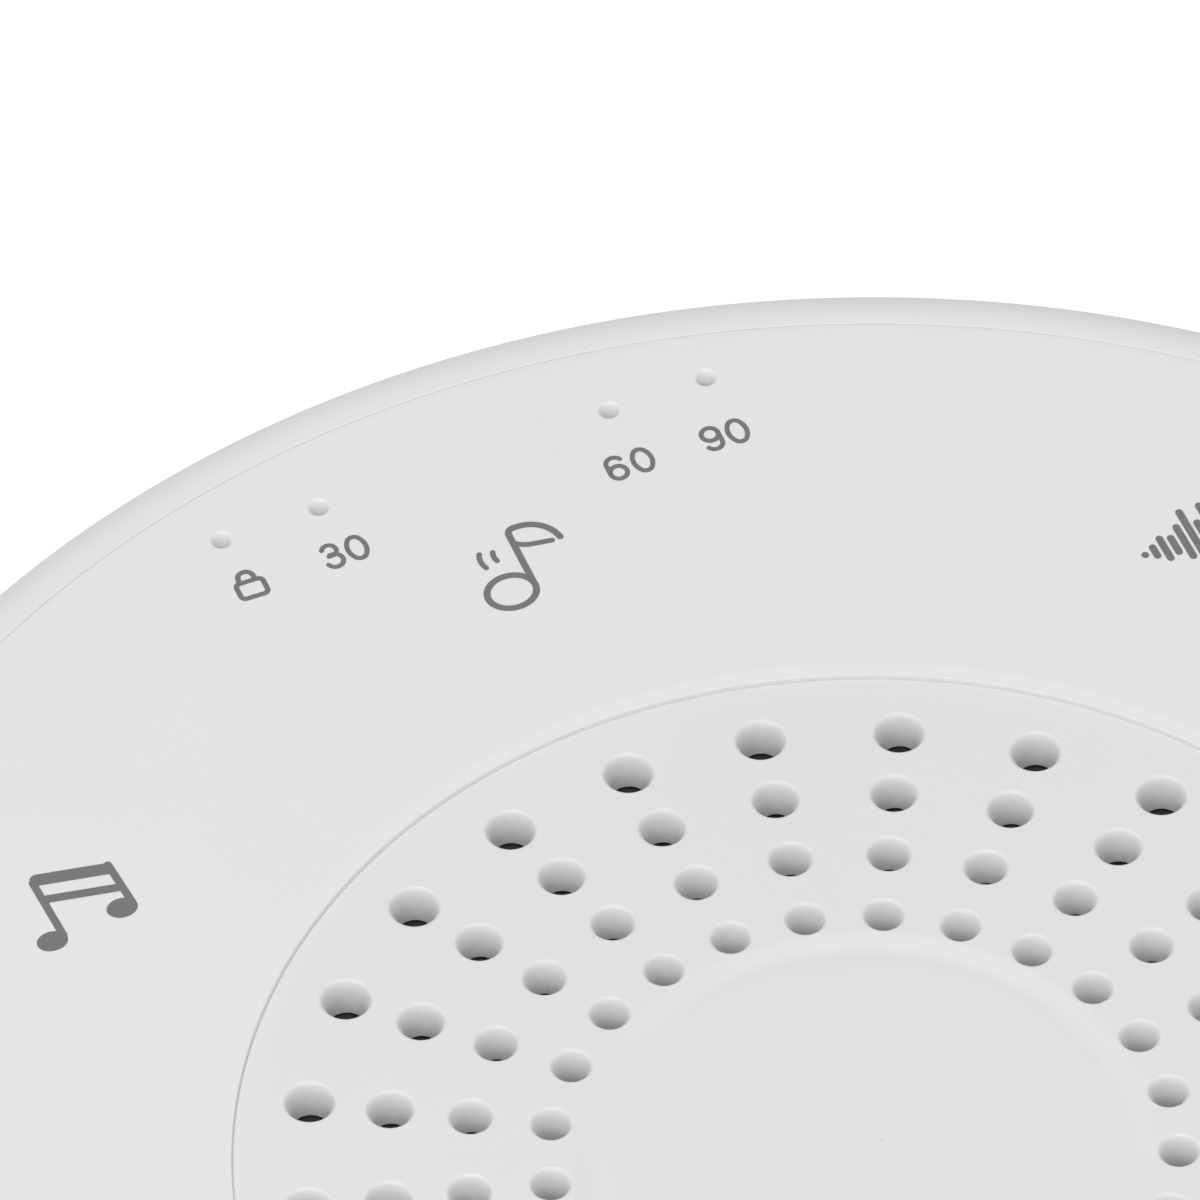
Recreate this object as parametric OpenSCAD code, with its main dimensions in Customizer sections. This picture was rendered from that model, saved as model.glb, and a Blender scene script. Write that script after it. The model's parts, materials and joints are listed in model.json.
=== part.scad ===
// White noise sound machine: a round table-top unit with an annular touch panel,
// a perforated speaker grille in its middle, a 57 mm loudspeaker and a USB-C inlet.
// Millimetres. The table is z = 0, +Z is up, +Y is the back, where the inlet is.

/* [Body] */
// Outer diameter at the rim
body_d = 115; // [110:0.5:126]
// Height from the table to the top panel's face
body_h = 54; // [52:0.5:66]
// Height of the underside above the table
under_gap = 1.2; // [0.8:0.1:1.6]
// Loss of radius from the rim down to the seam
taper = 3; // [0:0.25:4]
// Wall of the housing and the base
wall_t = 2.2; // [1.8:0.1:2.8]
// Rounding of the rim
rim_round = 1.9; // [1:0.1:2.3]
// Width of the rim around the top panel
rim_w = 2.88; // [2.6:0.04:4]
// Height of the seam between the base and the housing
seam_z = 10; // [9:0.25:10.5]
// Open gap of that seam
seam_gap = 0.3; // [0.1:0.05:0.5]
// Rounding of the base's lower edge
base_round = 5; // [3:0.25:6]
// Height of the base's locating lip above the seam
lip_h = 1.6; // [1:0.1:1.8]
// Thickness of that lip
lip_t = 1.2; // [0.8:0.1:1.6]

/* [Top panel] */
// Thickness of the touch panel
panel_t = 2.3; // [2:0.1:2.8]
// Gap around the panel, inside the rim
panel_gap = 0.12; // [0.08:0.02:0.3]
// Rounding of the panel's outer edge
panel_round = 0.3; // [0.1:0.05:0.6]
// Diameter of the panel's opening for the grille
opening_d = 62.2; // [60:0.2:63]
// Rounding of that opening's edge
opening_round = 0.6; // [0.2:0.1:1]
// Width of the housing's ledge under the panel
ledge_w = 1.4; // [1:0.1:1.6]
// Thickness of that ledge
ledge_t = 1.8; // [1.2:0.1:2.4]
// Distance of the screw bosses from the panel's edge
panel_boss_inset = 4.5; // [4.3:0.1:5]

/* [Grille] */
// Thickness of the grille plate
grille_t = 2.3; // [1.8:0.1:2.8]
// Gap around the grille, inside the opening
grille_gap = 0.15; // [0.1:0.01:0.3]
// How far the grille lies below the panel's face
grille_drop = 0.35; // [0:0.05:0.6]
// Rows of holes
rows = 4; // [2:1:4]
// Holes in each row
spokes = 25; // [16:1:27]
// Distance from the grille's edge to its outer row
row_inset = 3.45; // [2.4:0.05:4]
// Distance between rows
row_pitch = 4; // [3.4:0.1:4]
// Hole diameter in the outer row
hole_d = 2.4; // [1.6:0.1:2.7]
// Loss of hole diameter from each row to the next one inwards
hole_step = 0.17; // [0:0.01:0.25]
// Rounding of the holes' edges
hole_round = 0.25; // [0.1:0.05:0.35]
// Angle by which the rows are turned from the back
row_turn = 1.6; // [0:0.1:14]
// Radius of the round groove inside the holes
groove_r = 13.45; // [11:0.05:13.5]
// Width of that groove
groove_w = 1.7; // [0.8:0.1:1.8]
// Depth of that groove
groove_depth = 0.24; // [0.1:0.02:0.4]
// Width of the collar that holds the grille under the panel
collar_w = 1.1; // [0.8:0.1:1.3]
// Thickness of that collar
collar_t = 1.2; // [1:0.1:1.5]

/* [Touch keys] */
// Number of touch keys round the panel
keys = 8; // [4:1:8]
// Radius of the circle that the keys stand on
key_ring_r = 42.4; // [42.3:0.05:42.8]
// Distance of the pads from the touch board's inner edge
pad_margin = 0.2; // [0.1:0.05:1]
// Diameter of a key's copper pad
pad_d = 8.4; // [6:0.1:8.5]
// Thickness of the touch board
touch_board_t = 1.2; // [0.8:0.1:1.6]
// Thickness of the foil tape between board and panel
tape_t = 0.3; // [0.2:0.05:0.4]
// Distance of the row of lamps from the panel's outer edge
lamp_inset = 4.5; // [4.4:0.1:5]
// Half the distance between the inner pair of lamps
lamp_near = 7.9; // [7:0.1:9]
// Half the distance between the outer pair of lamps
lamp_far = 13.2; // [12:0.1:13.4]
// Diameter of a lamp's window
window_d = 1.3; // [1:0.05:1.6]
// Depth of the window's face below the panel's face
window_drop = 0.8; // [0.3:0.05:0.9]

/* [Speaker] */
// Outer diameter of the speaker's flange
speaker_d = 59; // [58:0.2:60]
// Thickness of the frame's sheet
frame_t = 1; // [0.8:0.1:1.2]
// Height of the flange above the frame's floor
frame_h = 14; // [13:0.5:15]
// Width of the flange outside the surround's roll
flange_w = 2.9; // [2.4:0.1:3.4]
// Thickness of the cone's paper
cone_t = 0.45; // [0.3:0.05:0.6]
// Radius of the surround's roll
roll_r = 1.8; // [1.4:0.1:1.9]
// Thickness of the surround's rubber
surround_t = 0.4; // [0.3:0.05:0.5]
// Inner diameter of the voice coil's former
former_d = 14; // [13:0.1:15]
// Thickness of the former
former_t = 0.12; // [0.1:0.02:0.2]
// Thickness of the winding
winding_t = 0.3; // [0.2:0.05:0.35]
// Length of the winding
winding_l = 5; // [4:0.5:6]
// Gap on both sides of the voice coil
coil_gap = 0.32; // [0.3:0.02:0.5]
// Outer diameter of the magnet
magnet_d = 38; // [34:0.5:40]
// Thickness of the magnet
magnet_t = 6; // [5:0.5:7]
// Thickness of the pole plate and of the yoke's plate
plate_t = 3; // [2:0.5:3.5]
// Diameter of the dust cap
cap_d = 17.2; // [16.4:0.2:19]
// Height of the dust cap
cap_h = 2.6; // [1.6:0.2:3]
// Thickness of the foam seal between grille and speaker
seal_t = 2.2; // [2:0.1:3]

/* [Board and inlet] */
// Height of the main board's underside above the table
board_z = 12; // [11.5:0.1:12.6]
// Thickness of the main board
board_t = 1.6; // [1:0.1:1.6]
// Radius of the main board
board_r = 36; // [34.5:0.5:37]
// Width of the board's tongue that carries the inlet
tongue_w = 18; // [14:0.5:20]
// Width of the USB-C shell
usb_w = 8.94; // [8.9:0.02:9]
// Height of the USB-C shell
usb_h = 3.16; // [3.12:0.02:3.2]
// Length of the USB-C shell
usb_l = 7.35; // [6.5:0.05:7.5]
// Thickness of the shell's sheet
usb_t = 0.3; // [0.25:0.01:0.35]
// Width of the recess around the inlet
recess_w = 14; // [12:0.5:16]
// Height of that recess
recess_h = 8; // [6:0.25:8]
// Depth of that recess at its middle
recess_depth = 1.2; // [1:0.05:1.5]

/* [Fasteners and feet] */
// Diameter of a rubber foot
foot_d = 11; // [8:0.5:14]
// Depth that a foot is sunk into the base
foot_sink = 0.8; // [0.4:0.1:1]
// Radius of the circle that the feet stand on
foot_ring_r = 40; // [36:0.5:40]
// Radius of the circle of the base's screws
column_ring_r = 44; // [43:0.5:45]
// Outer diameter of the housing's screw columns
column_d = 7; // [6:0.25:8]
// Height of those columns
column_h = 18; // [15:0.5:22]
// Thread diameter of the base's screws
base_screw_d = 2.9; // [2.5:0.1:3]
// Thread diameter of the small screws
small_screw_d = 2.1; // [1.8:0.1:2.3]
// Outer diameter of the small screws' bosses
boss_d = 5; // [4.6:0.1:5]

/* [Hidden] */
$fn = 64;
e = 0.01;
glue = 0.05;
thread_gap = 0.05;
part_gap = 0.3;
tower_angle = 45;
between_keys = 22.5;

top_z = body_h;
body_r = body_d / 2;
rim_c = [body_r - rim_round, top_z - rim_round];
seam_top = seam_z;
seam_bottom = seam_z - seam_gap;
draft = atan(taper / (rim_c.y - seam_z));
rim_touch = rim_c + rim_round * [cos(draft), -sin(draft)];
function wall_r(z) = rim_touch.x - (rim_touch.y - z) * tan(draft);

panel_hole_r = body_r - rim_w;
panel_r = panel_hole_r - panel_gap;
panel_z = top_z - panel_t;
ledge_r = panel_hole_r - ledge_w;
opening_r = opening_d / 2;
panel_boss_r = panel_r - panel_boss_inset;
panel_boss_l = 4.5;
lug_t = 1.6;
lug_top = panel_z - panel_boss_l;
lug_d = boss_d + 2;

speaker_r = speaker_d / 2;
grille_r = opening_r - grille_gap;
grille_top = top_z - grille_drop;
grille_z = grille_top - grille_t;
collar_in_r = max(grille_r - 1.4, speaker_r + glue);
collar_r = max(opening_r, collar_in_r) + collar_w;
collar_top = panel_z - glue;
collar_z = collar_top - collar_t;
mesh_t = 0.3;
groove_arc = (pow(groove_w / 2, 2) + pow(groove_depth, 2)) / (2 * groove_depth);

gasket_t = 2;
seal_z = grille_z - mesh_t - glue - seal_t;
flange_z = seal_z - gasket_t - surround_t;
ear_ring_r = collar_r + part_gap + boss_d / 2;
ear_d = boss_d + 1.4;
floor_top = flange_z - frame_h + frame_t;
floor_z = flange_z - frame_h;
roll_out_r = speaker_r - flange_w;
roll_c = roll_out_r - roll_r;
cone_d = 2 * (roll_c - roll_r);
cone_r = cone_d / 2;
lip_in_r = cone_r - 1.2;
basket_top_r = roll_out_r - 0.6;
basket_floor_r = basket_top_r - 9.4;
spider_z = floor_top + 1.4;
spider_r = basket_floor_r + 0.6;
spider_t = 0.4;
former_r = former_d / 2;
coil_r = former_r + former_t + winding_t;
pole_r = former_r - coil_gap;
gap_r = coil_r + coil_gap;
plate_z = floor_z - plate_t;
magnet_z = plate_z - magnet_t;
yoke_z = magnet_z - plate_t;
magnet_r = magnet_d / 2;
coil_mid = plate_z + plate_t / 2;
former_z = coil_mid - winding_l / 2 - 0.8;
neck_z = spider_z + 3.2;
former_top = neck_z + 1;
cone_neck_r = former_r + former_t + glue;
rim_t = 0.45;
cone_steps = 6;
function cone_z(r) =
    neck_z + (flange_z - glue - rim_t - neck_z) * pow((r - cone_neck_r) / (lip_in_r - cone_neck_r), 0.9);

touch_board_top = panel_z - tape_t - 0.1;
touch_board_z = touch_board_top - touch_board_t;
pad_t = 0.1;
touch_in_r = key_ring_r - pad_d / 2 - pad_margin;
touch_r = ledge_r - 0.4;
lamp_y = panel_r - lamp_inset;
lamp_xs = [-lamp_far, -lamp_near, lamp_near, lamp_far];
pocket_d = 3;
pocket_depth = 1;
window_flange_t = 0.4;
window_stem = panel_t - pocket_depth - window_drop;
lamp_h = 0.6;

base_floor_t = wall_t;
floor_in = under_gap + base_floor_t;
floor_round = 3;
base_c = [wall_r(under_gap + base_round) - base_round / cos(draft), under_gap + base_round];
base_touch = base_c + base_round * [cos(draft), -sin(draft)];
lip_r = wall_r(seam_top) - wall_t - 0.2;
column_z = seam_z + lip_h + 0.7;
column_roof = 2;
column_foot_d = column_d + 1.5;
screw_spare = 2;
base_head_d = 5.6;
base_head_h = 2.2;
head_seat = 6;
foot_t = under_gap + foot_sink;
label_r = 21;
label_t = 0.25;

post_ring_r = board_r - 5;
post_d = 5;
board_screw_l = 7;
post_angles = [30, 150, 210, 330];
board_top = board_z + board_t;
usb_z = board_top + usb_h / 2;
recess_y = wall_r(usb_z) - recess_depth;
usb_y = recess_y - part_gap;
tongue_y = usb_y - 2.5;
inlet_pad_in = recess_y - 2.6;
usb_back_t = 1.2;
tongue_l = 4.8;
tongue_t = 0.7;
contact_pitch = 0.5;
contact = [0.24, tongue_l - 0.8, 0.08];
header_in_x = magnet_r + 1.5;
header_l = 4.5;
header_w = 7.4;
header_h = 4.6;
header_wall = [1.2, 0.6, 0.8];
plug_l = 4;
plug_w = 6;
plug_h = 3.4;
nose_w = 5.8;
nose_h = 3;
lead_d = 1.3;
lead_y = 1.25;
plug_x = header_in_x + header_l + glue;
lead_end = [plug_x + plug_l, board_top + 2.2];
terminal_x = basket_top_r + 0.3;
terminal_t = 1;
terminal_z = flange_z - frame_t - 8.5;
lug_x = terminal_x + 2 * terminal_t;
lug_y = 2.6;
rivet_z = terminal_z + 2.2;
rivet_d = 1.1;
lead_start = [lug_x + 0.5 + glue, terminal_z + 2.4];
tinsel_d = 0.7;
tinsel_end_r = former_r + former_t + 8.4;
tinsel_start = [terminal_x + terminal_t - 0.8 - glue, rivet_z];
tinsel_end = [tinsel_end_r, cone_z(tinsel_end_r) - 0.15];

ribbon_w = 11;
ribbon_t = 0.3;
connector_w = 14;
connector_l = 5;
connector_h = 2.2;
mouth_w = ribbon_w + 0.4;
mouth_h = ribbon_t + 2 * glue;
mouth_l = 2;
ribbon_y0 = connector_l + 4 - board_r;
ribbon_low = [ribbon_y0 - connector_l, board_top + connector_h / 2];
touch_connector_y = -(touch_in_r + 2);
ribbon_high = [touch_connector_y, touch_board_z - connector_h / 2];
ribbon_out = ribbon_high.x + 2;
part_ring_r = (magnet_r + board_r) / 2;
chip_list = [[180, 9, 7, 1.2], [232, 5.2, 5.2, 1.6], [60, 6.4, 5, 1.4]];
can_angles = [112, 130, 308];
can_d = 6.3;
can_h = 7;
can_foot = 6.6;
power_coil_angle = 85;
power_coil_foot = [7, 7, 1];
power_coil_d = 6.4;
power_coil_h = 3;
can_base_h = 1;
chip_leg = [0.4, 1, 0.4];
leg_pitch = 1.2;
part_rows = [[165, part_ring_r], [200, part_ring_r], [75, magnet_r + 1], [105, magnet_r + 1],
    [255, magnet_r + 1], [285, magnet_r + 1]];
small_part = [1.6, 0.8, 0.6];
small_pitch = 2.6;

// ---- helpers ----

module ring(r_out, r_in, h) {
    difference() {
        cylinder(r = r_out, h = h);
        translate([0, 0, -1]) cylinder(r = r_in, h = h + 2);
    }
}

// Copies its children round the axis at a radius, starting at an angle.
module around(count, r, start) {
    for (i = [0 : count - 1]) rotate([0, 0, start + i * 360 / count]) translate([r, 0, 0]) children();
}

// What a rounded corner loses: the corner is at the origin and the material at +x, +y.
module corner_loss(r) {
    difference() {
        translate([-1, -1]) square(r + 1);
        translate([r, r]) circle(r);
    }
}

// A bar of stadium section along +Y.
module stadium(w, h, l) {
    for (s = [-1, 1]) translate([s * (w - h) / 2, 0, 0]) rotate([-90, 0, 0]) cylinder(d = h, h = l);
    translate([-(w - h) / 2, 0, -h / 2]) cube([w - h, l, h]);
}

// A pan-head screw pointing up, with its head's seat at the origin.
module screw(d, l, head_d, head_h) {
    slot_w = head_d / 6;
    difference() {
        union() {
            cylinder(d = d, h = l - d / 2);
            translate([0, 0, l - d / 2 - e]) cylinder(r1 = d / 2, r2 = d / 5, h = d / 2);
            translate([0, 0, -head_h]) cylinder(d = head_d, h = head_h);
        }
        for (a = [0, 90]) rotate([0, 0, a])
            translate([-head_d * 0.3, -slot_w / 2, -head_h - e]) cube([head_d * 0.6, slot_w, head_h * 0.6]);
    }
}

// Everything inside the middle of the housing's wall, from the base to the ledge.
module wall_core() {
    rotate_extrude() polygon([
        [0, seam_top], [wall_r(seam_top) - wall_t / 2, seam_top],
        [wall_r(panel_z) - wall_t / 2, panel_z], [0, panel_z]
    ]);
}

// A smooth path through points, with steps between each two of them.
function spline(p, steps) = [
    for (i = [0 : len(p) - 2]) for (s = [0 : steps - 1])
        let (a = p[max(i - 1, 0)], b = p[i], c = p[i + 1], d = p[min(i + 2, len(p) - 1)], t = s / steps)
        let (second = 2 * a - 5 * b + 4 * c - d, third = 3 * b - a - 3 * c + d)
        (2 * b + (c - a) * t + second * pow(t, 2) + third * pow(t, 3)) / 2,
    p[len(p) - 1]
];

function unit(v) = v / norm(v);
function along(p, i) = unit(p[min(i + 1, len(p) - 1)] - p[max(i - 1, 0)]);

// A round tube swept along a path that stays near one upright plane.
module tube(p, d, sides = 8) {
    points = [
        for (i = [0 : len(p) - 1])
            let (t = along(p, i), n = unit(cross(t, [0, 1, 0])), b = cross(t, n))
            for (k = [0 : sides - 1])
                p[i] + d / 2 * (n * cos(k * 360 / sides) + b * sin(k * 360 / sides))
    ];
    last = (len(p) - 1) * sides;
    faces = [
        [for (k = [0 : sides - 1]) k],
        for (i = [0 : len(p) - 2]) for (k = [0 : sides - 1])
            let (a = i * sides + k, b = i * sides + (k + 1) % sides)
            [a, a + sides, b + sides, b],
        [for (k = [sides - 1 : -1 : 0]) last + k]
    ];
    polyhedron(points, faces);
}

// ---- shells ----

module housing_profile() {
    polygon([
        [wall_r(seam_top) - wall_t, seam_top], [wall_r(seam_top), seam_top],
        rim_touch, rim_c, [rim_c.x, top_z],
        [panel_hole_r, top_z], [panel_hole_r, panel_z],
        [ledge_r, panel_z], [ledge_r, panel_z - ledge_t],
        [wall_r(panel_z - ledge_t) - wall_t, panel_z - ledge_t]
    ]);
    intersection() {
        translate(rim_c) circle(rim_round);
        translate(rim_c - [0, rim_round]) square([rim_round, 2 * rim_round]);
    }
}

// The wall, its panel lugs, its screw columns and the pad around the inlet.
module housing() {
    color("whitesmoke") difference() {
        union() {
            rotate_extrude() housing_profile();
            intersection() {
                wall_core();
                union() {
                    around(4, panel_boss_r, between_keys) {
                        translate([0, 0, lug_top - lug_t]) cylinder(d = lug_d, h = lug_t);
                        translate([0, -lug_d / 2, lug_top - lug_t]) cube([body_r, lug_d, lug_t]);
                    }
                    around(4, column_ring_r, tower_angle) {
                        translate([0, 0, column_z]) cylinder(d = column_d, h = column_h);
                        translate([0, -wall_t / 2, column_z]) cube([body_r, wall_t, column_h]);
                    }
                    translate([-recess_w / 2, inlet_pad_in, column_z]) cube([recess_w, wall_t, recess_h]);
                }
            }
        }
        around(4, panel_boss_r, between_keys) translate([0, 0, lug_top - lug_t - 1])
            cylinder(d = small_screw_d + 0.5, h = lug_t + 2);
        around(4, column_ring_r, tower_angle) translate([0, 0, column_z - 1])
            cylinder(d = base_screw_d + 2 * thread_gap, h = column_h - column_roof + 1);
        translate([0, recess_y, usb_z]) stadium(recess_w, recess_h, wall_t * 2);
        translate([0, inlet_pad_in - 1, usb_z]) stadium(usb_w + part_gap, usb_h + part_gap, wall_t * 3);
    }
}

module base_profile() {
    difference() {
        union() {
            polygon([
                [0, under_gap], [base_c.x, under_gap], base_c, base_touch, [wall_r(seam_bottom), seam_bottom],
                [lip_r, seam_bottom], [lip_r, seam_z + lip_h], [0, seam_z + lip_h]
            ]);
            intersection() {
                translate(base_c) circle(base_round);
                translate([base_c.x, under_gap]) square(base_round);
            }
        }
        difference() {
            translate([0, floor_in]) square([lip_r - lip_t, seam_z + lip_h]);
            translate([lip_r - lip_t, floor_in]) mirror([1, 0]) corner_loss(floor_round);
        }
    }
}

// A tray with feet recesses, screw towers, board posts and a label recess.
module base() {
    color("whitesmoke") difference() {
        union() {
            rotate_extrude() base_profile();
            around(4, column_ring_r, tower_angle) translate([0, 0, under_gap + 1])
                cylinder(d = column_foot_d, h = column_z - 0.2 - under_gap - 1);
            for (a = post_angles) rotate([0, 0, a]) translate([post_ring_r, 0, floor_in - 1])
                cylinder(d = post_d, h = board_z - floor_in + 1);
        }
        around(4, column_ring_r, tower_angle) {
            translate([0, 0, under_gap - 1]) cylinder(d = base_head_d + 0.8, h = head_seat - under_gap + 1);
            cylinder(d = base_screw_d + 0.4, h = column_z + 1);
        }
        for (a = post_angles) rotate([0, 0, a]) translate([post_ring_r, 0, floor_in])
            cylinder(d = small_screw_d + 2 * thread_gap, h = board_z);
        around(4, foot_ring_r, 0) translate([0, 0, under_gap - 1])
            cylinder(d = foot_d + part_gap, h = foot_sink + 1);
        translate([0, 0, under_gap - 1]) cylinder(r = label_r + 0.2, h = 1 + label_t);
    }
}
module rating_label() {
    color("silver") translate([0, 0, under_gap]) cylinder(r = label_r, h = label_t);
}

module rubber_feet() {
    color("dimgray") around(4, foot_ring_r, 0) rotate_extrude() difference() {
        square([foot_d / 2, foot_t]);
        translate([foot_d / 2, 0]) mirror([1, 0]) corner_loss(0.5);
    }
}

module base_screws() {
    color("silver") around(4, column_ring_r, tower_angle) translate([0, 0, head_seat])
        screw(base_screw_d, column_z + column_h - column_roof - screw_spare - head_seat,
            base_head_d, base_head_h);
}

// ---- touch panel ----

module top_panel() {
    color("white") difference() {
        union() {
            rotate_extrude() difference() {
                translate([opening_r, panel_z]) square([panel_r - opening_r, panel_t]);
                translate([opening_r, top_z]) mirror([0, 1]) corner_loss(opening_round);
                translate([panel_r, top_z]) rotate(180) corner_loss(panel_round);
            }
            around(4, panel_boss_r, between_keys) translate([0, 0, lug_top])
                cylinder(d = boss_d, h = panel_boss_l + 1);
            around(4, ear_ring_r, between_keys) translate([0, 0, flange_z])
                cylinder(d = boss_d, h = panel_z - flange_z + 1);
        }
        around(4, panel_boss_r, between_keys) translate([0, 0, lug_top - 1])
            cylinder(d = small_screw_d + 2 * thread_gap, h = panel_boss_l + 1.5);
        around(4, ear_ring_r, between_keys) translate([0, 0, flange_z - 1])
            cylinder(d = small_screw_d + 2 * thread_gap, h = panel_z - flange_z + 1.5);
        for (x = lamp_xs) translate([x, lamp_y, 0]) {
            translate([0, 0, panel_z - 1]) cylinder(d = pocket_d, h = 1 + pocket_depth);
            translate([0, 0, panel_z]) cylinder(d = window_d, h = panel_t + 1);
        }
    }
}

module panel_screws() {
    color("silver") around(4, panel_boss_r, between_keys) translate([0, 0, lug_top - lug_t])
        screw(small_screw_d, lug_t + panel_boss_l, small_screw_d * 2, small_screw_d * 0.7);
}

module led_windows() {
    color("white", 0.8) for (x = lamp_xs) translate([x, lamp_y, panel_z + pocket_depth]) {
        translate([0, 0, -window_flange_t]) cylinder(d = pocket_d - 0.4, h = window_flange_t - glue);
        translate([0, 0, -window_flange_t]) cylinder(d = window_d - 0.06, h = window_flange_t + window_stem);
    }
}
module indicator_leds() {
    color("lightyellow") for (x = lamp_xs) translate([x - 0.8, lamp_y - 0.4, touch_board_top])
        cube([1.6, 0.8, lamp_h]);
}

// The flat ring shared by the tape and the touch board.
module touch_ring(r_in, r_out, z, t, boss_room, lamp_room) {
    difference() {
        translate([0, 0, z]) ring(r_out, r_in, t);
        around(4, panel_boss_r, between_keys) translate([0, 0, z - 1])
            cylinder(d = boss_d + boss_room, h = t + 2);
        around(4, ear_ring_r, between_keys) translate([0, 0, z - 1])
            cylinder(d = boss_d + part_gap, h = t + 2);
        if (lamp_room > 0) for (x = lamp_xs) translate([x, lamp_y, z - 1])
            cylinder(d = lamp_room, h = t + 2);
    }
}

module adhesive_tape() {
    color("gold", 0.6) touch_ring(touch_in_r + 0.4, touch_r - 0.2, panel_z - tape_t, tape_t, 2, pocket_d);
}

module touch_pads() {
    color("orange") around(keys, key_ring_r, 90) translate([0, 0, touch_board_top])
        cylinder(d = pad_d, h = pad_t);
}

module touch_board() {
    color("darkgreen") touch_ring(touch_in_r, touch_r, touch_board_z, touch_board_t, 1.4, 0);
}

module touch_connector() {
    color("ivory") translate([-connector_w / 2, touch_connector_y - connector_l, touch_board_z - connector_h])
        difference() {
            cube([connector_w, connector_l, connector_h]);
            translate([(connector_w - mouth_w) / 2, connector_l - mouth_l, (connector_h - mouth_h) / 2])
                cube([mouth_w, mouth_l + 1, mouth_h]);
        }
}

// Flat cable that leaves the touch board inwards, falls past the speaker and turns in to the main board.
module ribbon_cable() {
    path = spline([
        ribbon_low + [1.5, 0], ribbon_low, ribbon_low + [-1, 0], ribbon_low + [-4, 1],
        [ribbon_out, ribbon_low.y + 7], [ribbon_out, (ribbon_low.y + ribbon_high.y) / 2],
        [ribbon_out + 1, ribbon_high.y - 6], ribbon_high + [2.2, -1.6], ribbon_high + [1, 0],
        ribbon_high, ribbon_high + [-1.5, 0]
    ], 5);
    last = len(path) - 1;
    side = [for (i = [0 : last]) let (t = along(path, i)) ribbon_t / 2 * [-t.y, t.x]];
    left = [for (i = [0 : last]) path[i] + side[i]];
    right = [for (i = [last : -1 : 0]) path[i] - side[i]];
    color("gainsboro") translate([-ribbon_w / 2, 0, 0]) rotate([90, 0, 90]) linear_extrude(ribbon_w)
        polygon(concat(left, right));
}

module board_connector() {
    color("ivory") translate([-connector_w / 2, ribbon_y0 - connector_l, board_top]) difference() {
        cube([connector_w, connector_l, connector_h]);
        translate([(connector_w - mouth_w) / 2, -1, (connector_h - mouth_h) / 2])
            cube([mouth_w, mouth_l + 1, mouth_h]);
    }
}

// ---- grille ----

// One hole with its rounded mouth; the plate's face is z = 0.
module mouth(d) {
    rotate_extrude() {
        translate([0, -grille_t - 1]) square([d / 2, grille_t + 2]);
        difference() {
            translate([0, -hole_round]) square([d / 2 + hole_round, hole_round + 1]);
            translate([d / 2 + hole_round, -hole_round]) circle(hole_round);
        }
    }
}

module grille() {
    color("gainsboro") difference() {
        union() {
            translate([0, 0, grille_z]) cylinder(r = grille_r, h = grille_t);
            translate([0, 0, grille_z]) cylinder(r = collar_r, h = collar_top - grille_z);
            translate([0, 0, collar_z]) ring(collar_r, collar_in_r, collar_t);
        }
        translate([0, 0, grille_top]) {
            for (row = [0 : rows - 1])
                around(spokes, grille_r - row_inset - row * row_pitch, 90 + row_turn)
                    mouth(hole_d - row * hole_step);
            rotate_extrude() translate([groove_r, groove_arc - groove_depth]) circle(groove_arc);
        }
    }
}

module dust_mesh() {
    color("black") translate([0, 0, grille_z - mesh_t]) cylinder(r = collar_in_r - 0.2, h = mesh_t);
}

module foam_seal() {
    color("dimgray") translate([0, 0, seal_z]) ring(speaker_r, roll_out_r, seal_t);
}

// ---- speaker ----

module speaker_gasket() {
    color("tan") translate([0, 0, flange_z + surround_t]) ring(speaker_r, roll_out_r, gasket_t);
}

// Pressed frame: flange with four ears, open basket, spider ledge and terminal tab.
module speaker_frame() {
    color("slategray") difference() {
        union() {
            translate([0, 0, flange_z - frame_t]) {
                ring(speaker_r, basket_top_r - 1, frame_t);
                around(4, ear_ring_r, between_keys) {
                    ear_l = ear_ring_r - speaker_r + 1;
                    cylinder(d = ear_d, h = frame_t);
                    translate([-ear_l, -ear_d / 2, 0]) cube([ear_l, ear_d, frame_t]);
                }
            }
            rotate_extrude() polygon([
                [basket_top_r, flange_z - frame_t], [basket_floor_r, floor_top],
                [gap_r + 0.8, floor_top], [gap_r + 0.8, floor_z],
                [basket_floor_r + frame_t, floor_z], [basket_top_r + frame_t, flange_z - frame_t]
            ]);
            translate([0, 0, floor_top - e])
                ring(basket_floor_r + 1, spider_r - 2, spider_z - glue - floor_top);
            translate([terminal_x, -5, terminal_z + 4]) cube([terminal_t, 10, flange_z - terminal_z - 4 - e]);
        }
        around(4, 0, 0) translate([basket_floor_r - 4, -basket_floor_r * 0.4, spider_z + 1])
            cube([10, basket_floor_r * 0.8, 6]);
        around(4, ear_ring_r, between_keys) translate([0, 0, flange_z - frame_t - 1])
            cylinder(d = small_screw_d + 0.6, h = frame_t + 2);
    }
}

module speaker_screws() {
    color("silver") around(4, ear_ring_r, between_keys) translate([0, 0, flange_z - frame_t])
        screw(small_screw_d, frame_t + panel_z - flange_z, small_screw_d * 2, small_screw_d * 0.7);
}

// Board behind the basket's tab, with a rivet hole for each lug.
module terminal_plate() {
    color("peru") difference() {
        translate([terminal_x + terminal_t, -5, terminal_z]) cube([terminal_t, 10, 8]);
        for (s = [-1, 1]) translate([terminal_x, s * lug_y, rivet_z]) rotate([0, 90, 0])
            cylinder(d = rivet_d + 2 * glue, h = 3 * terminal_t);
    }
}

module terminal_lugs() {
    color("gold") for (s = [-1, 1]) {
        translate([lug_x, s * lug_y - 1.2, terminal_z + 1]) cube([0.5, 2.4, 5]);
        translate([terminal_x + terminal_t - 0.8, s * lug_y, rivet_z]) rotate([0, 90, 0])
            cylinder(d = rivet_d, h = terminal_t + 0.8 + e);
    }
}

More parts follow.
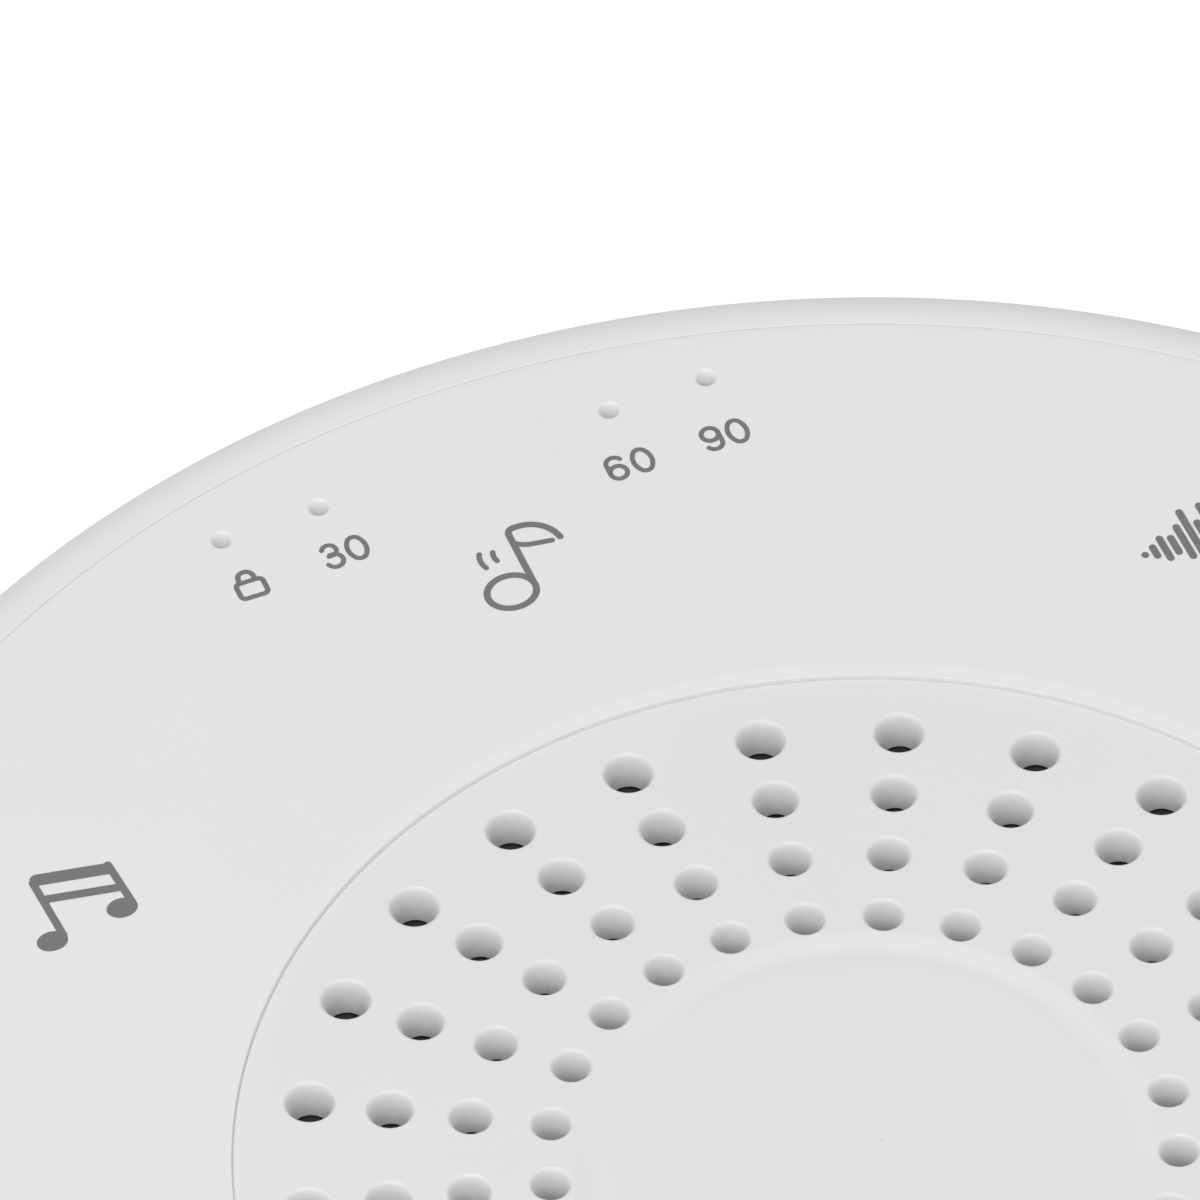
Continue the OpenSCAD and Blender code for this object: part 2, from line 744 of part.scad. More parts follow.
// Braided wires that carry the signal through the basket's window to the moving cone.
module tinsel_leads() {
    color("peru") for (s = [-1, 1]) tube(spline([
        [tinsel_start.x, s * lug_y, tinsel_start.y], [tinsel_start.x - 2, s * lug_y, tinsel_start.y - 0.6],
        [(tinsel_start.x + tinsel_end.x) / 2, s * lug_y, tinsel_start.y - 1],
        [tinsel_end.x + 1, s * lug_y, tinsel_end.y - 2.4], [tinsel_end.x, s * lug_y, tinsel_end.y]
    ], 4), tinsel_d);
}

// Half roll of rubber between the cone's rim and the flange.
module surround() {
    color("black") rotate_extrude() {
        translate([lip_in_r, flange_z]) square([cone_r - lip_in_r, surround_t]);
        translate([roll_out_r - e, flange_z]) square([speaker_r - roll_out_r, surround_t]);
        intersection() {
            translate([roll_c, flange_z]) difference() {
                circle(roll_r + e);
                circle(roll_r - surround_t);
            }
            translate([0, flange_z]) square([speaker_r, 2 * roll_r]);
        }
    }
}

// Corrugated disc that centres the voice coil.
module spider() {
    inner = former_r + former_t + 0.08;
    waves = 4;
    steps = 40;
    line = [for (i = [0 : steps]) [
        inner + (spider_r - inner) * i / steps,
        spider_z + 0.5 * (1 - cos(360 * waves * i / steps)) * 0.9
    ]];
    color("peru") rotate_extrude() polygon(concat(
        line, [for (i = [steps : -1 : 0]) line[i] + [0, spider_t]]
    ));
}

module cone() {
    path = [
        for (i = [0 : cone_steps])
            let (r = cone_neck_r + (lip_in_r - cone_neck_r) * i / cone_steps) [r, cone_z(r)]
    ];
    rim_top = flange_z - glue;
    color("dimgray") rotate_extrude() polygon(concat(
        path, [[cone_r, rim_top - rim_t], [cone_r, rim_top], [lip_in_r - cone_t, rim_top]],
        [for (i = [cone_steps - 1 : -1 : 0]) path[i] + [0, cone_t * 1.3]]
    ));
}

module dust_cap() {
    r = cap_d / 2;
    seat = cone_z(r) + cone_t * 1.3 + glue;
    sphere_r = (r * r + cap_h * cap_h) / (2 * cap_h);
    color("black") rotate_extrude() intersection() {
        translate([0, seat + cap_h - sphere_r]) difference() {
            circle(sphere_r);
            circle(sphere_r - 0.4);
        }
        translate([0, seat]) square([r, cap_h + 1]);
    }
}

module coil_former() {
    color("burlywood") translate([0, 0, former_z]) ring(former_r + former_t, former_r, former_top - former_z);
}

module coil_winding() {
    color("chocolate") translate([0, 0, coil_mid - winding_l / 2])
        ring(coil_r, former_r + former_t, winding_l);
}

module pole_plate() {
    color("silver") translate([0, 0, plate_z]) ring(magnet_r - 2, gap_r, plate_t);
}

module magnet() {
    color("dimgray") translate([0, 0, magnet_z]) ring(magnet_r, gap_r + 2, magnet_t);
}

module yoke() {
    color("silver") difference() {
        union() {
            translate([0, 0, yoke_z]) cylinder(r = magnet_r - 1, h = plate_t);
            translate([0, 0, magnet_z - 1]) cylinder(r = pole_r, h = floor_z - magnet_z + 1);
        }
        translate([0, 0, yoke_z - 1]) cylinder(d = 3, h = floor_z - yoke_z + 2);
    }
}

// One speaker lead from a terminal lug down to the plug; side is -1 or 1.
module lead(side) {
    start = lead_start;
    stop = lead_end;
    tube(spline([
        [start.x, side * lug_y, start.y], [start.x + 1.6, side * lug_y, start.y - 0.6],
        [start.x + 4, side * 2.5, start.y - 5], [start.x + 5, side * 2.1, (start.y + stop.y) / 2],
        [stop.x + 4.4, side * 1.6, stop.y + 4], [stop.x + 2, side * lead_y, stop.y + 0.4],
        [stop.x, side * lead_y, stop.y]
    ], 5), lead_d);
}

module red_lead() {
    color("red") lead(1);
}

module black_lead() {
    color("black") lead(-1);
}

// Two-way plug with its nose inside the header.
module lead_plug() {
    color("white") {
        translate([plug_x, -plug_w / 2, board_top + 0.7]) cube([plug_l - glue, plug_w, plug_h]);
        translate([header_in_x + header_wall.x + 0.1, -nose_w / 2, board_top + header_wall.z + 0.1])
            cube([header_l, nose_w, nose_h]);
    }
}

module lead_header() {
    color("ivory") translate([header_in_x, -header_w / 2, board_top]) difference() {
        cube([header_l, header_w, header_h]);
        translate(header_wall) cube([header_l, header_w - 2 * header_wall.y, nose_h + 0.2]);
    }
}

// ---- main board ----

module main_board() {
    color("darkgreen") difference() {
        union() {
            translate([0, 0, board_z]) cylinder(r = board_r, h = board_t);
            translate([-tongue_w / 2, 0, board_z]) cube([tongue_w, tongue_y, board_t]);
        }
        for (a = post_angles) rotate([0, 0, a]) translate([post_ring_r, 0, board_z - 1])
            cylinder(d = small_screw_d + 0.5, h = board_t + 2);
    }
}

module board_screws() {
    color("silver") for (a = post_angles) rotate([0, 0, a]) translate([post_ring_r, 0, board_top])
        mirror([0, 0, 1]) screw(small_screw_d, board_screw_l, small_screw_d * 2, small_screw_d * 0.7);
}

module usb_shell() {
    color("silver") translate([0, usb_y - usb_l, usb_z]) difference() {
        stadium(usb_w, usb_h, usb_l);
        translate([0, -1, 0]) stadium(usb_w - 2 * usb_t, usb_h - 2 * usb_t, usb_l + 2);
    }
}

module usb_tongue() {
    color("black") translate([0, usb_y - usb_l, usb_z]) {
        stadium(usb_w - 2 * usb_t - 0.02, usb_h - 2 * usb_t - 0.02, usb_back_t);
        translate([-3.35, 0, -tongue_t / 2]) cube([6.7, usb_back_t + tongue_l, tongue_t]);
    }
}

module usb_contacts() {
    color("gold") for (side = [-1, 1]) for (i = [0 : 11])
        translate([contact_pitch * (i - 5.5) - contact.x / 2, usb_y - usb_l + usb_back_t, usb_z])
            translate([0, 0, side * (tongue_t + contact.z) / 2 - contact.z / 2]) cube(contact);
}

// Places its children on the main board, at a radius and an angle.
module on_board(angle, r) {
    translate([r * cos(angle), r * sin(angle), board_top]) children();
}

// Controller, sound memory and amplifier, each a flat package with legs on two sides.
module chips() {
    for (c = chip_list) on_board(c[0], part_ring_r) {
        color("black") translate([-c[1] / 2, -c[2] / 2, 0.1]) cube([c[1], c[2], c[3]]);
        color("silver") for (s = [-1, 1])
            for (x = [(leg_pitch - c[1]) / 2 : leg_pitch : c[1] / 2 - chip_leg.x])
                translate([x - chip_leg.x / 2, (s * c[2] - chip_leg.y) / 2, 0]) cube(chip_leg);
    }
}

module capacitors() {
    for (a = can_angles) on_board(a, part_ring_r) {
        color("black") translate([-can_foot / 2, -can_foot / 2, 0]) cube([can_foot, can_foot, can_base_h]);
        color("silver") cylinder(d = can_d, h = can_h);
    }
}

module power_coil() {
    color("dimgray") on_board(power_coil_angle, part_ring_r) {
        translate([-power_coil_foot.x / 2, -power_coil_foot.y / 2, 0]) cube(power_coil_foot);
        cylinder(d = power_coil_d, h = power_coil_h);
    }
}

// Resistors and small capacitors in rows of four.
module small_parts() {
    color("saddlebrown") for (row = part_rows) on_board(row[0], row[1])
        for (i = [0 : 3]) translate([small_pitch * (i - 1.5) - small_part.x / 2, 0, 0]) cube(small_part);
}

housing();
base();
rubber_feet();
base_screws();
top_panel();
panel_screws();
led_windows();
indicator_leds();
adhesive_tape();
touch_pads();
touch_board();
touch_connector();
ribbon_cable();
board_connector();
grille();
dust_mesh();
foam_seal();
speaker_gasket();
speaker_frame();
speaker_screws();
terminal_plate();
terminal_lugs();
tinsel_leads();
surround();
spider();
cone();
dust_cap();
coil_former();
coil_winding();
pole_plate();
magnet();
yoke();
red_lead();
black_lead();
lead_plug();
lead_header();
main_board();
board_screws();
usb_shell();
usb_tongue();
usb_contacts();
chips();
capacitors();
power_coil();
small_parts();
rating_label();
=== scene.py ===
# White noise sound machine: shells, print, finishes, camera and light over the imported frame.
import json
import math

import bmesh
import bpy
from mathutils import Matrix, Vector

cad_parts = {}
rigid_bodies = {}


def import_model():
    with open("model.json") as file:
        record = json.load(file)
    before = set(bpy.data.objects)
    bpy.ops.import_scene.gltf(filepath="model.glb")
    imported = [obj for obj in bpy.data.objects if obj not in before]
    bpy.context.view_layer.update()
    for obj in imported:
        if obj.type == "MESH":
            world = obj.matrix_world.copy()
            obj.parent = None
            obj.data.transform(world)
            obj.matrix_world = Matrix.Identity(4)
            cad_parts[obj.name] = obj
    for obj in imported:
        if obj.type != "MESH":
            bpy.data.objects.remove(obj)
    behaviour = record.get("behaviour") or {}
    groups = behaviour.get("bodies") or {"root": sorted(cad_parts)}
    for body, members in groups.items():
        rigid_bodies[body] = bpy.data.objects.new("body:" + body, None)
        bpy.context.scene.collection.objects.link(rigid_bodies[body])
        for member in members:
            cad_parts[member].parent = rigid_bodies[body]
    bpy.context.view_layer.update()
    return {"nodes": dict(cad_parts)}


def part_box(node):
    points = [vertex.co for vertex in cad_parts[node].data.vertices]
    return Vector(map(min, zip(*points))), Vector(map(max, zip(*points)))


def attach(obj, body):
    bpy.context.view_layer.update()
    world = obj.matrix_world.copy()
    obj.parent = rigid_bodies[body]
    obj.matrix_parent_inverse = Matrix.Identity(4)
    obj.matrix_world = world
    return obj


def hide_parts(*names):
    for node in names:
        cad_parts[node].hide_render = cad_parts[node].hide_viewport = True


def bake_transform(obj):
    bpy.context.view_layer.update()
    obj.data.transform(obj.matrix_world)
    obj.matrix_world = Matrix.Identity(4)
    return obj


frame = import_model()
nodes = frame["nodes"]
mm = 0.001
print("frame loaded,", len(nodes), "nodes")


# camera

cameraView = {
    "aim": (2.67, 38.61, 53.65),  # where the lens's axis meets the grille's plane
    "distance": 1700,
    "elevation": 48.4,
    "turn": 22.5,  # the machine is seen from the left of its front
    "roll": -1.38,
    "lens": 1022.7,
    "sensor": 36,
}


def placeCamera(view):
    elevation = math.radians(view["elevation"])
    turn = math.radians(view["turn"])
    roll = math.radians(view["roll"])
    right = Vector((math.cos(turn), -math.sin(turn), 0))
    forward = Vector((math.sin(turn), math.cos(turn), 0)) * math.cos(elevation)
    forward.z = -math.sin(elevation)
    up = right.cross(forward)
    rolledRight = right * math.cos(roll) + up * math.sin(roll)
    rolledUp = up * math.cos(roll) - right * math.sin(roll)
    bpy.ops.object.camera_add()
    camera = bpy.context.object
    camera.name = "Camera"
    camera.data.sensor_fit = "HORIZONTAL"
    camera.data.sensor_width = view["sensor"]
    camera.data.lens = view["lens"]
    camera.data.clip_start = 0.1
    camera.data.clip_end = 20
    facing = Matrix((rolledRight, rolledUp, -forward)).transposed().to_4x4()
    place = (Vector(view["aim"]) - forward * view["distance"]) * mm
    camera.matrix_world = Matrix.Translation(place) @ facing
    bpy.context.scene.camera = camera


placeCamera(cameraView)
print("camera placed")


# finishes

def screenColour(red, green, blue):
    # a colour as a screen shows it, 0 to 255, turned into Blender's own
    def channel(value):
        share = value / 255
        return share / 12.92 if share <= 0.04045 else ((share + 0.055) / 1.055) ** 2.4

    return (channel(red), channel(green), channel(blue), 1)


class Wire:
    # a node's output that can be added, scaled and compared like a number
    def __init__(self, tree, socket):
        self.tree = tree
        self.socket = socket

    def maths(self, operation, first, second=0):
        return self.tree.node("ShaderNodeMath", {"operation": operation}, {0: first, 1: second})

    def __add__(self, other):
        return self.maths("ADD", self, other)

    def __radd__(self, other):
        return self.maths("ADD", other, self)

    def __sub__(self, other):
        return self.maths("SUBTRACT", self, other)

    def __rsub__(self, other):
        return self.maths("SUBTRACT", other, self)

    def __mul__(self, other):
        return self.maths("MULTIPLY", self, other)

    def __rmul__(self, other):
        return self.maths("MULTIPLY", other, self)

    def __pow__(self, other):
        return self.maths("POWER", self, other)

    def __lt__(self, other):
        return self.maths("LESS_THAN", self, other)

    def __gt__(self, other):
        return self.maths("GREATER_THAN", self, other)

    def __abs__(self):
        return self.maths("ABSOLUTE", self)

    def sine(self):
        return self.maths("SINE", self)

    def larger(self, other):
        return self.maths("MAXIMUM", self, other)


class NodeTree:
    # the nodes of a material or of the world
    def __init__(self, owner):
        owner.use_nodes = True
        self.tree = owner.node_tree

    def plug(self, node, name, value):
        if isinstance(value, Wire):
            self.tree.links.new(value.socket, node.inputs[name])
        else:
            node.inputs[name].default_value = value

    def node(self, kind, settings, inputs, *outputs):
        # a new node, with its settings first and then its sockets, and the outputs asked for
        made = self.tree.nodes.new(kind)
        for name, value in settings.items():
            setattr(made, name, value)
        for name, value in inputs.items():
            self.plug(made, name, value)
        wires = [Wire(self, made.outputs[name]) for name in outputs or (0,)]
        return wires if len(wires) > 1 else wires[0]


class Finish(NodeTree):
    # one material: a Principled shader, and the nodes that vary it over Object coordinates
    def __init__(self, name, colour, roughness, **constants):
        self.material = bpy.data.materials.new(name)
        super().__init__(self.material)
        self.shader = self.tree.nodes["Principled BSDF"]
        self.feed("Base Color", colour)
        self.feed("Roughness", roughness)
        for socketName, value in constants.items():
            self.feed(socketName.replace("_", " "), value)
        self.place = self.node("ShaderNodeTexCoord", {}, {}, "Object")
        self.material.diffuse_color = colour

    def feed(self, name, value):
        self.plug(self.shader, name, value)

    def noise(self, scale, detail=2, place=None):
        inputs = {"Vector": place or self.place, "Scale": scale, "Detail": detail}
        return self.node("ShaderNodeTexNoise", {}, inputs)

    def cells(self, scale):
        return self.node("ShaderNodeTexVoronoi", {}, {"Vector": self.place, "Scale": scale}, "Distance")

    def axes(self, *names):
        return self.node("ShaderNodeSeparateXYZ", {}, {"Vector": self.place}, *names)

    def mix(self, share, first, second):
        return self.node("ShaderNodeMix", {"data_type": "RGBA"}, {0: share, 6: first, 7: second}, 2)

    def between(self, wire, low, high):
        # 0 up to low, 1 from high on
        return self.node("ShaderNodeMapRange", {}, {"Value": wire, "From Min": low, "From Max": high})

    def bump(self, height, strength, distance):
        inputs = {"Height": height, "Strength": strength, "Distance": distance}
        self.feed("Normal", self.node("ShaderNodeBump", {}, inputs))


def shade(colour, factor):
    return tuple(channel * factor for channel in colour[:3]) + (1,)


def mouldedPlastic(name, tone, roughness=0.42, grain=2600, grainDepth=0.006, specks=True):
    # satin moulding: slow drift of tone, fine spark grain, a few specks of dust
    dust = {"cells": 230, "size": 0.022, "patches": 61, "rarity": 0.54, "strength": 0.16}
    finish = Finish(name, tone, roughness, IOR=1.5)
    drift = finish.noise(28, 3)
    fine = finish.noise(grain, 2)
    shaded = finish.mix(finish.between(drift, 0.3, 0.7), shade(tone, 0.985), shade(tone, 1.012))
    if specks:
        spots = finish.cells(dust["cells"]) < dust["size"]
        rare = finish.noise(dust["patches"], 0) > dust["rarity"]
        shaded = finish.mix(spots * rare * dust["strength"], shaded, screenColour(150, 148, 145))
    finish.feed("Base Color", shaded)
    finish.feed("Roughness", roughness - 0.03 + 0.06 * drift + 0.05 * fine)
    finish.bump(fine, 0.35, grainDepth * mm)
    return finish.material


def metal(name, tone, roughness=0.3, brush=(1, 1, 30), scale=300):
    finish = Finish(name, tone, roughness, Metallic=1)
    stretched = finish.node("ShaderNodeMapping", {}, {"Vector": finish.place, "Scale": brush})
    streaks = finish.noise(scale, 3, stretched)
    finish.feed("Base Color", finish.mix(streaks, shade(tone, 0.86), shade(tone, 1.06)))
    finish.feed("Roughness", roughness - 0.08 + 0.18 * streaks)
    finish.bump(streaks, 0.2, 0.01 * mm)
    return finish.material


def coarseSolid(name, tone, roughness, scale, depth, spread=0.18):
    # rubber, card, foam, ferrite and paper: a mottled tone over a grainy bump
    finish = Finish(name, tone, roughness)
    grains = finish.noise(scale, 5)
    pits = finish.cells(scale * 0.8)
    finish.feed("Base Color", finish.mix(grains, shade(tone, 1 - spread), shade(tone, 1 + spread)))
    finish.feed("Roughness", roughness - 0.08 + 0.14 * grains)
    finish.bump(grains + 0.5 * pits, 0.5, depth * mm)
    return finish.material


def wovenCloth(name, tone, pitch, roughness=0.85, depth=0.05):
    # plain weave: threads along X and Y, one over the other
    finish = Finish(name, tone, roughness)
    x, y = finish.axes("X", "Y")
    turns = math.tau / (pitch * mm)
    weave = abs((x * turns).sine()) * abs((y * turns).sine())
    lint = finish.noise(900, 3)
    finish.feed("Base Color", finish.mix(weave, shade(tone, 0.55), shade(tone, 1.35)))
    finish.feed("Roughness", roughness - 0.06 + 0.12 * lint)
    finish.bump(weave + 0.2 * lint, 0.6, depth * mm)
    return finish.material


def circuitBoard(name, tone):
    # solder mask over copper runs, with pads left bare here and there
    bare = {"cells": 330, "size": 0.16, "patches": 170, "rarity": 0.56}
    finish = Finish(name, tone, 0.35, Coat_Weight=0.3)
    runs = finish.node(
        "ShaderNodeTexBrick",
        {"offset": 0.37, "squash": 1.4, "squash_frequency": 3},
        {"Vector": finish.place, "Scale": 210, "Mortar Size": 0.035, "Mortar Smooth": 0.1},
        "Fac",
    )
    pads = finish.cells(bare["cells"]) < bare["size"]
    rare = finish.noise(bare["patches"], 0) > bare["rarity"]
    masked = finish.mix(runs, tone, shade(tone, 1.7))
    finish.feed("Base Color", finish.mix(pads * rare, masked, screenColour(196, 196, 190)))
    finish.feed("Roughness", 0.34 - 0.1 * runs)
    finish.bump(runs + pads * rare, 0.4, 0.03 * mm)
    return finish.material


def turnedRings(name, tone, roughness, pitch, metallic=0, depth=0.04):
    # rings stacked along the axis: winding, former
    finish = Finish(name, tone, roughness, Metallic=metallic)
    rings = abs((finish.axes("Z") * (math.pi / (pitch * mm))).sine())
    finish.feed("Base Color", finish.mix(rings, shade(tone, 0.5), shade(tone, 1.15)))
    finish.feed("Roughness", roughness + 0.1 - 0.15 * rings)
    finish.bump(rings, 0.7, depth * mm)
    return finish.material


def flatCable(name, tone, pitch):
    # parallel conductors under a clear sheet
    finish = Finish(name, tone, 0.4, Coat_Weight=0.4)
    lines = abs((finish.axes("X") * (math.pi / (pitch * mm))).sine())
    finish.feed("Base Color", finish.mix(finish.between(lines, 0.25, 0.45), shade(tone, 0.6), tone))
    finish.bump(lines, 0.5, 0.04 * mm)
    return finish.material


def clearWindow(name):
    # milky diffuser of a lamp
    finish = Finish(name, screenColour(214, 214, 212), 0.36, IOR=1.49)
    haze = finish.noise(1400, 2)
    finish.feed("Base Color", finish.mix(haze, screenColour(205, 205, 203), screenColour(220, 220, 218)))
    finish.feed("Roughness", 0.3 + 0.12 * haze)
    finish.bump(haze, 0.2, 0.004 * mm)
    return finish.material


def printedInk(name, tone):
    finish = Finish(name, tone, 0.5)
    grains = finish.noise(5200, 2)
    patches = finish.noise(700, 2)
    finish.feed("Base Color", finish.mix(0.5 * grains + 0.5 * patches, shade(tone, 0.9), shade(tone, 1.12)))
    finish.feed("Roughness", 0.46 + 0.1 * grains)
    finish.bump(grains, 0.3, 0.004 * mm)
    return finish.material


def labelFilm(name, tone, borderInner, borderOuter):
    # silver film with a thin printed border
    finish = Finish(name, tone, 0.42, Metallic=0.3)
    x, y = finish.axes("X", "Y")
    reach = (x * x + y * y) ** 0.5
    border = (reach > borderInner * mm) * (reach < borderOuter * mm)
    grains = finish.noise(2200, 2)
    film = finish.mix(grains, shade(tone, 0.96), shade(tone, 1.03))
    finish.feed("Base Color", finish.mix(border, film, screenColour(70, 70, 72)))
    finish.feed("Roughness", 0.38 + 0.08 * grains)
    finish.bump(grains, 0.2, 0.004 * mm)
    return finish.material


finishes = {
    "shell": mouldedPlastic("shellWhite", screenColour(231, 230, 230)),
    "panel": mouldedPlastic("panelWhite", screenColour(233, 232, 232), 0.38, 3000, 0.004),
    "grille": mouldedPlastic("grilleWhite", screenColour(229, 228, 228), 0.45, 2400, 0.007),
    "ink": printedInk("inkGrey", screenColour(112, 111, 112)),
    "window": clearWindow("windowMilk"),
    "lamp": mouldedPlastic("lampCream", screenColour(244, 236, 196), 0.3, specks=False),
    "rubber": coarseSolid("footRubber", screenColour(66, 66, 68), 0.72, 1500, 0.03),
    "screw": metal("screwZinc", screenColour(196, 198, 200)),
    "tape": coarseSolid("foilTape", screenColour(196, 176, 128), 0.4, 700, 0.02, 0.08),
    "copper": metal("padCopper", screenColour(202, 136, 92), 0.34),
    "board": circuitBoard("maskGreen", screenColour(26, 92, 52)),
    "connector": mouldedPlastic("connectorIvory", screenColour(232, 222, 196), 0.4, specks=False),
    "ribbon": flatCable("ribbonWhite", screenColour(226, 226, 222), 1),
    "mesh": wovenCloth("meshBlack", screenColour(50, 50, 51), 0.32),
    "foam": coarseSolid("foamGrey", screenColour(78, 78, 80), 0.95, 1900, 0.12),
    "card": coarseSolid("gasketCard", screenColour(176, 140, 98), 0.9, 900, 0.05),
    "frame": metal("frameSteel", screenColour(118, 122, 128), 0.4, (8, 8, 8)),
    "terminal": coarseSolid("terminalBoard", screenColour(150, 98, 56), 0.6, 1200, 0.02),
    "gold": metal("contactGold", screenColour(222, 184, 102), 0.25),
    "braid": turnedRings("tinselBraid", screenColour(186, 128, 84), 0.45, 0.3, 0.8),
    "surround": coarseSolid("surroundRubber", screenColour(38, 38, 40), 0.55, 2200, 0.015),
    "spider": wovenCloth("spiderCloth", screenColour(170, 122, 66), 0.5),
    "cone": coarseSolid("conePaper", screenColour(56, 56, 58), 0.9, 800, 0.08),
    "cap": coarseSolid("capPaper", screenColour(34, 34, 36), 0.8, 1300, 0.05),
    "former": turnedRings("formerFilm", screenColour(196, 150, 92), 0.5, 0.6, 0, 0.01),
    "winding": turnedRings("windingCopper", screenColour(190, 104, 62), 0.35, 0.16, 0.9),
    "pole": metal("poleSteel", screenColour(184, 188, 192), 0.34, (1, 1, 1), 240),
    "magnet": coarseSolid("magnetFerrite", screenColour(58, 58, 60), 0.7, 1400, 0.03),
    "red": mouldedPlastic("leadRed", screenColour(186, 40, 34), 0.42, specks=False),
    "black": mouldedPlastic("leadBlack", screenColour(34, 34, 36), 0.42, specks=False),
    "plug": mouldedPlastic("plugWhite", screenColour(236, 234, 226), 0.4, specks=False),
    "chip": coarseSolid("chipBlack", screenColour(36, 36, 38), 0.6, 3000, 0.01),
    "can": metal("canAluminium", screenColour(206, 208, 210), 0.28),
    "coil": coarseSolid("coilFerrite", screenColour(70, 70, 74), 0.7, 1600, 0.03),
    "resistor": coarseSolid("partBrown", screenColour(124, 92, 62), 0.6, 2600, 0.01),
    "usbSteel": metal("usbSteel", screenColour(200, 202, 204), 0.26, (1, 20, 1)),
    "usbTongue": mouldedPlastic("usbBlack", screenColour(30, 30, 32), 0.45, specks=False),
    "label": labelFilm("labelSilver", screenColour(208, 210, 212), 19.7, 20),
}

nodeFinishes = {
    "base_screws": "screw", "panel_screws": "screw", "speaker_screws": "screw", "board_screws": "screw",
    "indicator_leds": "lamp", "adhesive_tape": "tape", "touch_pads": "copper", "touch_board": "board",
    "touch_connector": "connector", "ribbon_cable": "ribbon", "board_connector": "connector",
    "dust_mesh": "mesh", "foam_seal": "foam", "speaker_gasket": "card", "speaker_frame": "frame",
    "terminal_plate": "terminal", "terminal_lugs": "gold", "tinsel_leads": "braid",
    "surround": "surround", "spider": "spider", "cone": "cone", "dust_cap": "cap",
    "coil_former": "former", "coil_winding": "winding", "pole_plate": "pole", "magnet": "magnet",
    "yoke": "pole", "red_lead": "red", "black_lead": "black", "lead_plug": "plug",
    "lead_header": "connector", "main_board": "board", "usb_shell": "usbSteel",
    "usb_tongue": "usbTongue", "usb_contacts": "gold", "chips": "chip", "capacitors": "can",
    "power_coil": "coil", "small_parts": "resistor", "rating_label": "label",
    "housing": "shell", "base": "shell", "top_panel": "panel", "grille": "grille",
    "led_windows": "window", "rubber_feet": "rubber",
}
for nodeName, finishName in nodeFinishes.items():
    for materialSlot in nodes[nodeName].material_slots:
        materialSlot.material = finishes[finishName]
print("finishes mixed,", len(finishes))


# ways of working

touching = 0.0005 * mm  # points nearer than this are one


def activate(piece):
    bpy.ops.object.select_all(action="DESELECT")
    piece.select_set(True)
    bpy.context.view_layer.objects.active = piece


def edit(piece):
    activate(piece)
    bpy.ops.object.mode_set(mode="EDIT")
    bpy.ops.mesh.select_all(action="SELECT")


def closeMesh():
    # one skin with its faces outwards, back in object mode
    bpy.ops.mesh.select_all(action="SELECT")
    bpy.ops.mesh.remove_doubles(threshold=touching)
    bpy.ops.mesh.normals_make_consistent(inside=False)
    bpy.ops.object.mode_set(mode="OBJECT")
    return bpy.context.object


def startPoint(name, x, z):
    # a single vertex in edit mode
    bpy.ops.object.select_all(action="DESELECT")
    bpy.ops.mesh.primitive_plane_add(size=2 * mm)
    bpy.context.object.name = name
    bpy.ops.object.mode_set(mode="EDIT")
    bpy.ops.mesh.merge(type="CENTER")
    bpy.ops.transform.translate(value=(x * mm, 0, z * mm))


class Section:
    # half a section drawn in the XZ plane, anticlockwise, and turned round the axis
    def __init__(self, name, x, z):
        startPoint(name, x, z)
        self.first = (x, z)
        self.x, self.z = x, z

    def line(self, *points):
        for x, z in points:
            step = ((x - self.x) * mm, 0, (z - self.z) * mm)
            bpy.ops.mesh.extrude_vertices_move(TRANSFORM_OT_translate={"value": step})
            self.x, self.z = x, z
        return self

    def arc(self, centreX, centreZ, degrees, steps=8):
        turn = math.radians(degrees)
        bpy.ops.mesh.spin(steps=steps, angle=turn, center=(centreX * mm, 0, centreZ * mm), axis=(0, 1, 0))
        x, z = self.x - centreX, self.z - centreZ
        self.x = centreX + x * math.cos(turn) - z * math.sin(turn)
        self.z = centreZ + x * math.sin(turn) + z * math.cos(turn)
        return self

    def oval(self, centre, across, high, start, end, steps=12):
        # part of an oval round its centre, from one turn in degrees to another
        for step in range(steps + 1):
            turn = math.radians(start + (end - start) * step / steps)
            self.line((centre[0] + across * math.cos(turn), centre[1] + high * math.sin(turn)))
        return self

    def dip(self, width, drop, steps=12):
        # a soft slope, level at both ends
        x, z = self.x, self.z
        for step in range(1, steps + 1):
            share = step / steps
            self.line((x + width * share, z - drop * (1 - math.cos(math.pi * share)) / 2))
        return self

    def lathe(self, steps=256, degrees=360):
        if self.first[0] > 0:
            self.line(self.first)
        bpy.ops.mesh.select_all(action="SELECT")
        bpy.ops.mesh.remove_doubles(threshold=touching)
        bpy.ops.mesh.select_all(action="SELECT")
        bpy.ops.mesh.spin(steps=steps, angle=math.radians(degrees), center=(0, 0, 0), axis=(0, 0, 1))
        return closeMesh()


def rod(radius, low, high, steps=48):
    return Section("tool", 0, low).line((radius, low), (radius, high), (0, high)).lathe(steps)


def block(low, high):
    size = [(b - a) * mm for a, b in zip(low, high)]
    middle = [(a + b) / 2 * mm for a, b in zip(low, high)]
    bpy.ops.object.select_all(action="DESELECT")
    bpy.ops.mesh.primitive_cube_add(size=1, location=middle, scale=size)
    bpy.ops.object.transform_apply(location=True, rotation=True, scale=True)
    return bpy.context.object


